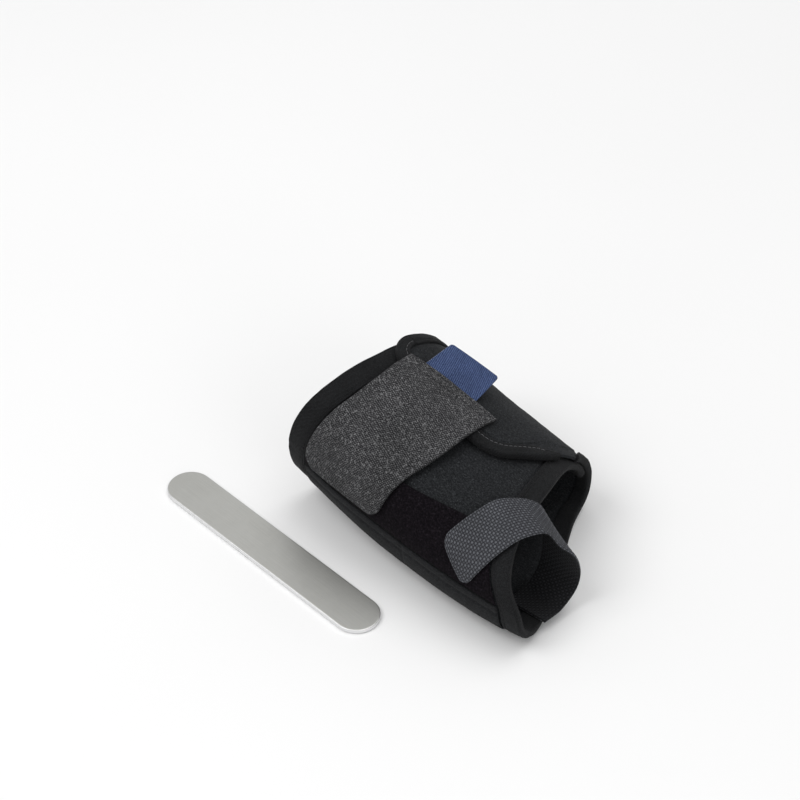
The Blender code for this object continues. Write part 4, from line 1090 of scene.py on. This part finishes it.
def build_label(look):
    """A stiff woven tab off the flap, with softly rounded corners."""
    arc = 1.0 - np.cos(np.linspace(0.0, 0.5 * math.pi, 12))
    corner = LABEL_CORNER / LABEL_LENGTH
    shares = np.concatenate((corner * arc, np.linspace(corner, 1.0 - corner, 70)[1:-1],
                             1.0 - corner * arc[::-1]))
    base = FLAP_TOP + CLEARANCE
    middle = lookup(INSTEP_STRAP, 1, INSTEP_SEWN_TURN) * WRAP_LENGTH
    gap = 0.5 * CLEARANCE / form.turn_length(middle, -0.5, 0.0)
    along, turn = instep_place(np.full(shares.shape, INSTEP_SEWN_TURN),
                               (shares - 0.5) * LABEL_LENGTH + LABEL_SHIFT)
    turn = turn - gap
    seam = form.at(along, turn, base)
    tangent = unit(form.at(along, turn - LABEL_TANGENT_TURN, base) - seam)
    normal = form.normal(along, turn)
    direction = unit(tangent + (LABEL_LIFT + shares * LABEL_LIFT_GAIN)[:, None] * normal)
    back = LABEL_TAPER * (seam[0] - seam[-1])
    to_end = np.minimum(shares, 1.0 - shares) * LABEL_LENGTH
    half = rounded_half(0.5 * LABEL_WIDTH, LABEL_CORNER, to_end) / LABEL_WIDTH
    across = np.linspace(-1.0, 1.0, 60)[:, None]
    reach = 0.5 + across * half[None, :]
    point = seam[None] + (reach * LABEL_WIDTH)[..., None] * direction[None]
    point = point + (shares[None, :] * reach)[..., None] * back
    bow = 0.0003 * np.sin(reach * math.pi) * np.sin(shares * 5.0 + 0.4)[None, :]
    point = point + normal[None] * bow[..., None]
    factor = edge_factor(border_of(point), 0.5 * LABEL_THICKNESS)[..., None]
    low = point + normal[None] * 0.5 * LABEL_THICKNESS * (1.0 - factor)
    high = point + normal[None] * 0.5 * LABEL_THICKNESS * (1.0 + factor)
    return slab("blue_label", low, high, look, "label")


def build_stay(look):
    """A flat bar with round ends and softly rounded edges."""
    radius, straight = 0.5 * STAY_WIDTH, 0.5 * (STAY_LENGTH - STAY_WIDTH)
    angle = np.linspace(-0.5 * math.pi, 0.5 * math.pi, 61)
    spots = np.linspace(-straight, straight, 41)[1:-1]
    centre = np.concatenate((np.full(61, straight), spots[::-1], np.full(61, -straight), spots))
    way = np.concatenate((angle, np.full(39, 0.5 * math.pi), angle + math.pi,
                          np.full(39, 1.5 * math.pi)))
    bend = np.linspace(0.0, 0.5 * math.pi, 7)
    inset = np.concatenate(((0.004, 0.001), STAY_EDGE * (1.0 - np.sin(bend)),
                            STAY_EDGE * (1.0 - np.cos(bend)), (0.001, 0.004)))
    height = np.concatenate(((0.0, 0.0), STAY_EDGE * (1.0 - np.cos(bend)),
                             STAY_THICKNESS - STAY_EDGE * (1.0 - np.sin(bend)),
                             (STAY_THICKNESS, STAY_THICKNESS)))
    reach = radius - inset[:, None]
    x, y = centre + reach * np.cos(way), reach * np.sin(way)
    turned = (STAY_BACK_SHARE * WRAP_LENGTH + x * math.cos(STAY_ANGLE) - y * math.sin(STAY_ANGLE),
              -STAY_DISTANCE + x * math.sin(STAY_ANGLE) + y * math.cos(STAY_ANGLE))
    points = np.stack((*turned, np.broadcast_to(height[:, None], x.shape)), axis=-1)
    faces = tube_faces(*x.shape)
    cloth = 1000.0 * np.stack((x, y), axis=-1).reshape(-1, 2)
    lower = (height < STAY_EDGE) * 1.0
    rim = np.stack(np.broadcast_arrays(1000.0 * inset[:, None], lower[:, None], x)[:2], axis=-1)
    return finish_piece("metal_stay", points.reshape(-1, 3), faces, cloth, rim.reshape(-1, 2),
                        look, "stay", 40.0)


# Build

jersey = jersey_look("jersey", (0.0050, 0.0055, 0.0062), (0.0145, 0.0156, 0.0172),
                     (0.036, 0.038, 0.041))
band_jersey = jersey_look("band_jersey", (0.0040, 0.0042, 0.0047), (0.0100, 0.0105, 0.0115),
                          (0.024, 0.025, 0.027))
edge_tape = tape_look("bound_tape", (0.0028, 0.0029, 0.0032), (0.0085, 0.0088, 0.0095),
                      (0.024, 0.025, 0.027))
dark_thread = thread_look("dark_thread", (0.004, 0.004, 0.005), (0.016, 0.016, 0.018))
pale_thread = thread_look("pale_thread", (0.06, 0.06, 0.063), (0.17, 0.17, 0.178))

wrap_cloth = build_wrap(jersey)
rear_seam, front_seam, flap_seam = build_tapes(edge_tape)
loop_panel, pocket_band = build_panels(velvet_look(), band_jersey)
instep_strap, strap_seams = build_instep_strap(plush_look())
toe_strap = build_toe_strap(webbing_look())
label = build_label(label_look())

stitches("tape_stitches", [rear_seam, front_seam], dark_thread)
stitches("flap_stitches", [flap_seam], pale_thread)
stitches("strap_stitches", strap_seams, dark_thread)

build_stay(aluminium_look())

# Stage

bpy.ops.mesh.primitive_circle_add(vertices=96, radius=12.0, fill_type="NGON")
floor = bpy.context.object
floor.name = "floor"
floor_look = Look("pale_floor", 0.9, specular=0.2)
floor_look.colour(floor_look.ramp(floor_look.noise(3.0, 2.0), (0.3, 0.86), (0.7, 0.88)))
floor.data.materials.append(floor_look.made)
floor.location.z = -0.0001

LIGHTS = (
    ("key", (-0.5, -0.9, 1.5), 1.1, 12.0),
    ("top", (0.1, 0.5, 1.8), 1.6, 11.0),
    ("side", (1.4, -0.5, 0.8), 0.9, 3.0),
)
LIGHTS_AIM = Vector((0.0, 0.0, 0.03))
for name, place, size, power in LIGHTS:
    data = bpy.data.lights.new(name, "AREA")
    data.shape = "DISK"
    data.size = size
    data.energy = power
    light = bpy.data.objects.new(name, data)
    bpy.context.scene.collection.objects.link(light)
    light.location = place
    light.rotation_euler = (LIGHTS_AIM - Vector(place)).to_track_quat("-Z", "Y").to_euler()

world = bpy.data.worlds.new("studio")
bpy.context.scene.world = world
world.use_nodes = True
background = world.node_tree.nodes["Background"]
background.inputs["Color"].default_value = (1.0, 1.0, 1.0, 1.0)
background.inputs["Strength"].default_value = 0.55
bpy.context.scene.view_settings.view_transform = "Standard"

# The photograph's view
AZIMUTH, ELEVATION, DISTANCE = math.radians(42.0), math.radians(42.0), 1.1
TARGET = Vector((-0.0504, 0.0144, 0.0325))
SENSOR_WIDTH, FOCAL_PIXELS, IMAGE_PIXELS = 36.0, 2530.0, 800.0
camera_data = bpy.data.cameras.new("camera")
camera_data.sensor_width = SENSOR_WIDTH
camera_data.lens = SENSOR_WIDTH * FOCAL_PIXELS / IMAGE_PIXELS
camera = bpy.data.objects.new("camera", camera_data)
bpy.context.scene.collection.objects.link(camera)
back = Vector((math.sin(AZIMUTH) * math.cos(ELEVATION), -math.cos(AZIMUTH) * math.cos(ELEVATION),
               math.sin(ELEVATION)))
camera.location = TARGET + DISTANCE * back
camera.rotation_euler = back.to_track_quat("Z", "Y").to_euler()
bpy.context.scene.camera = camera
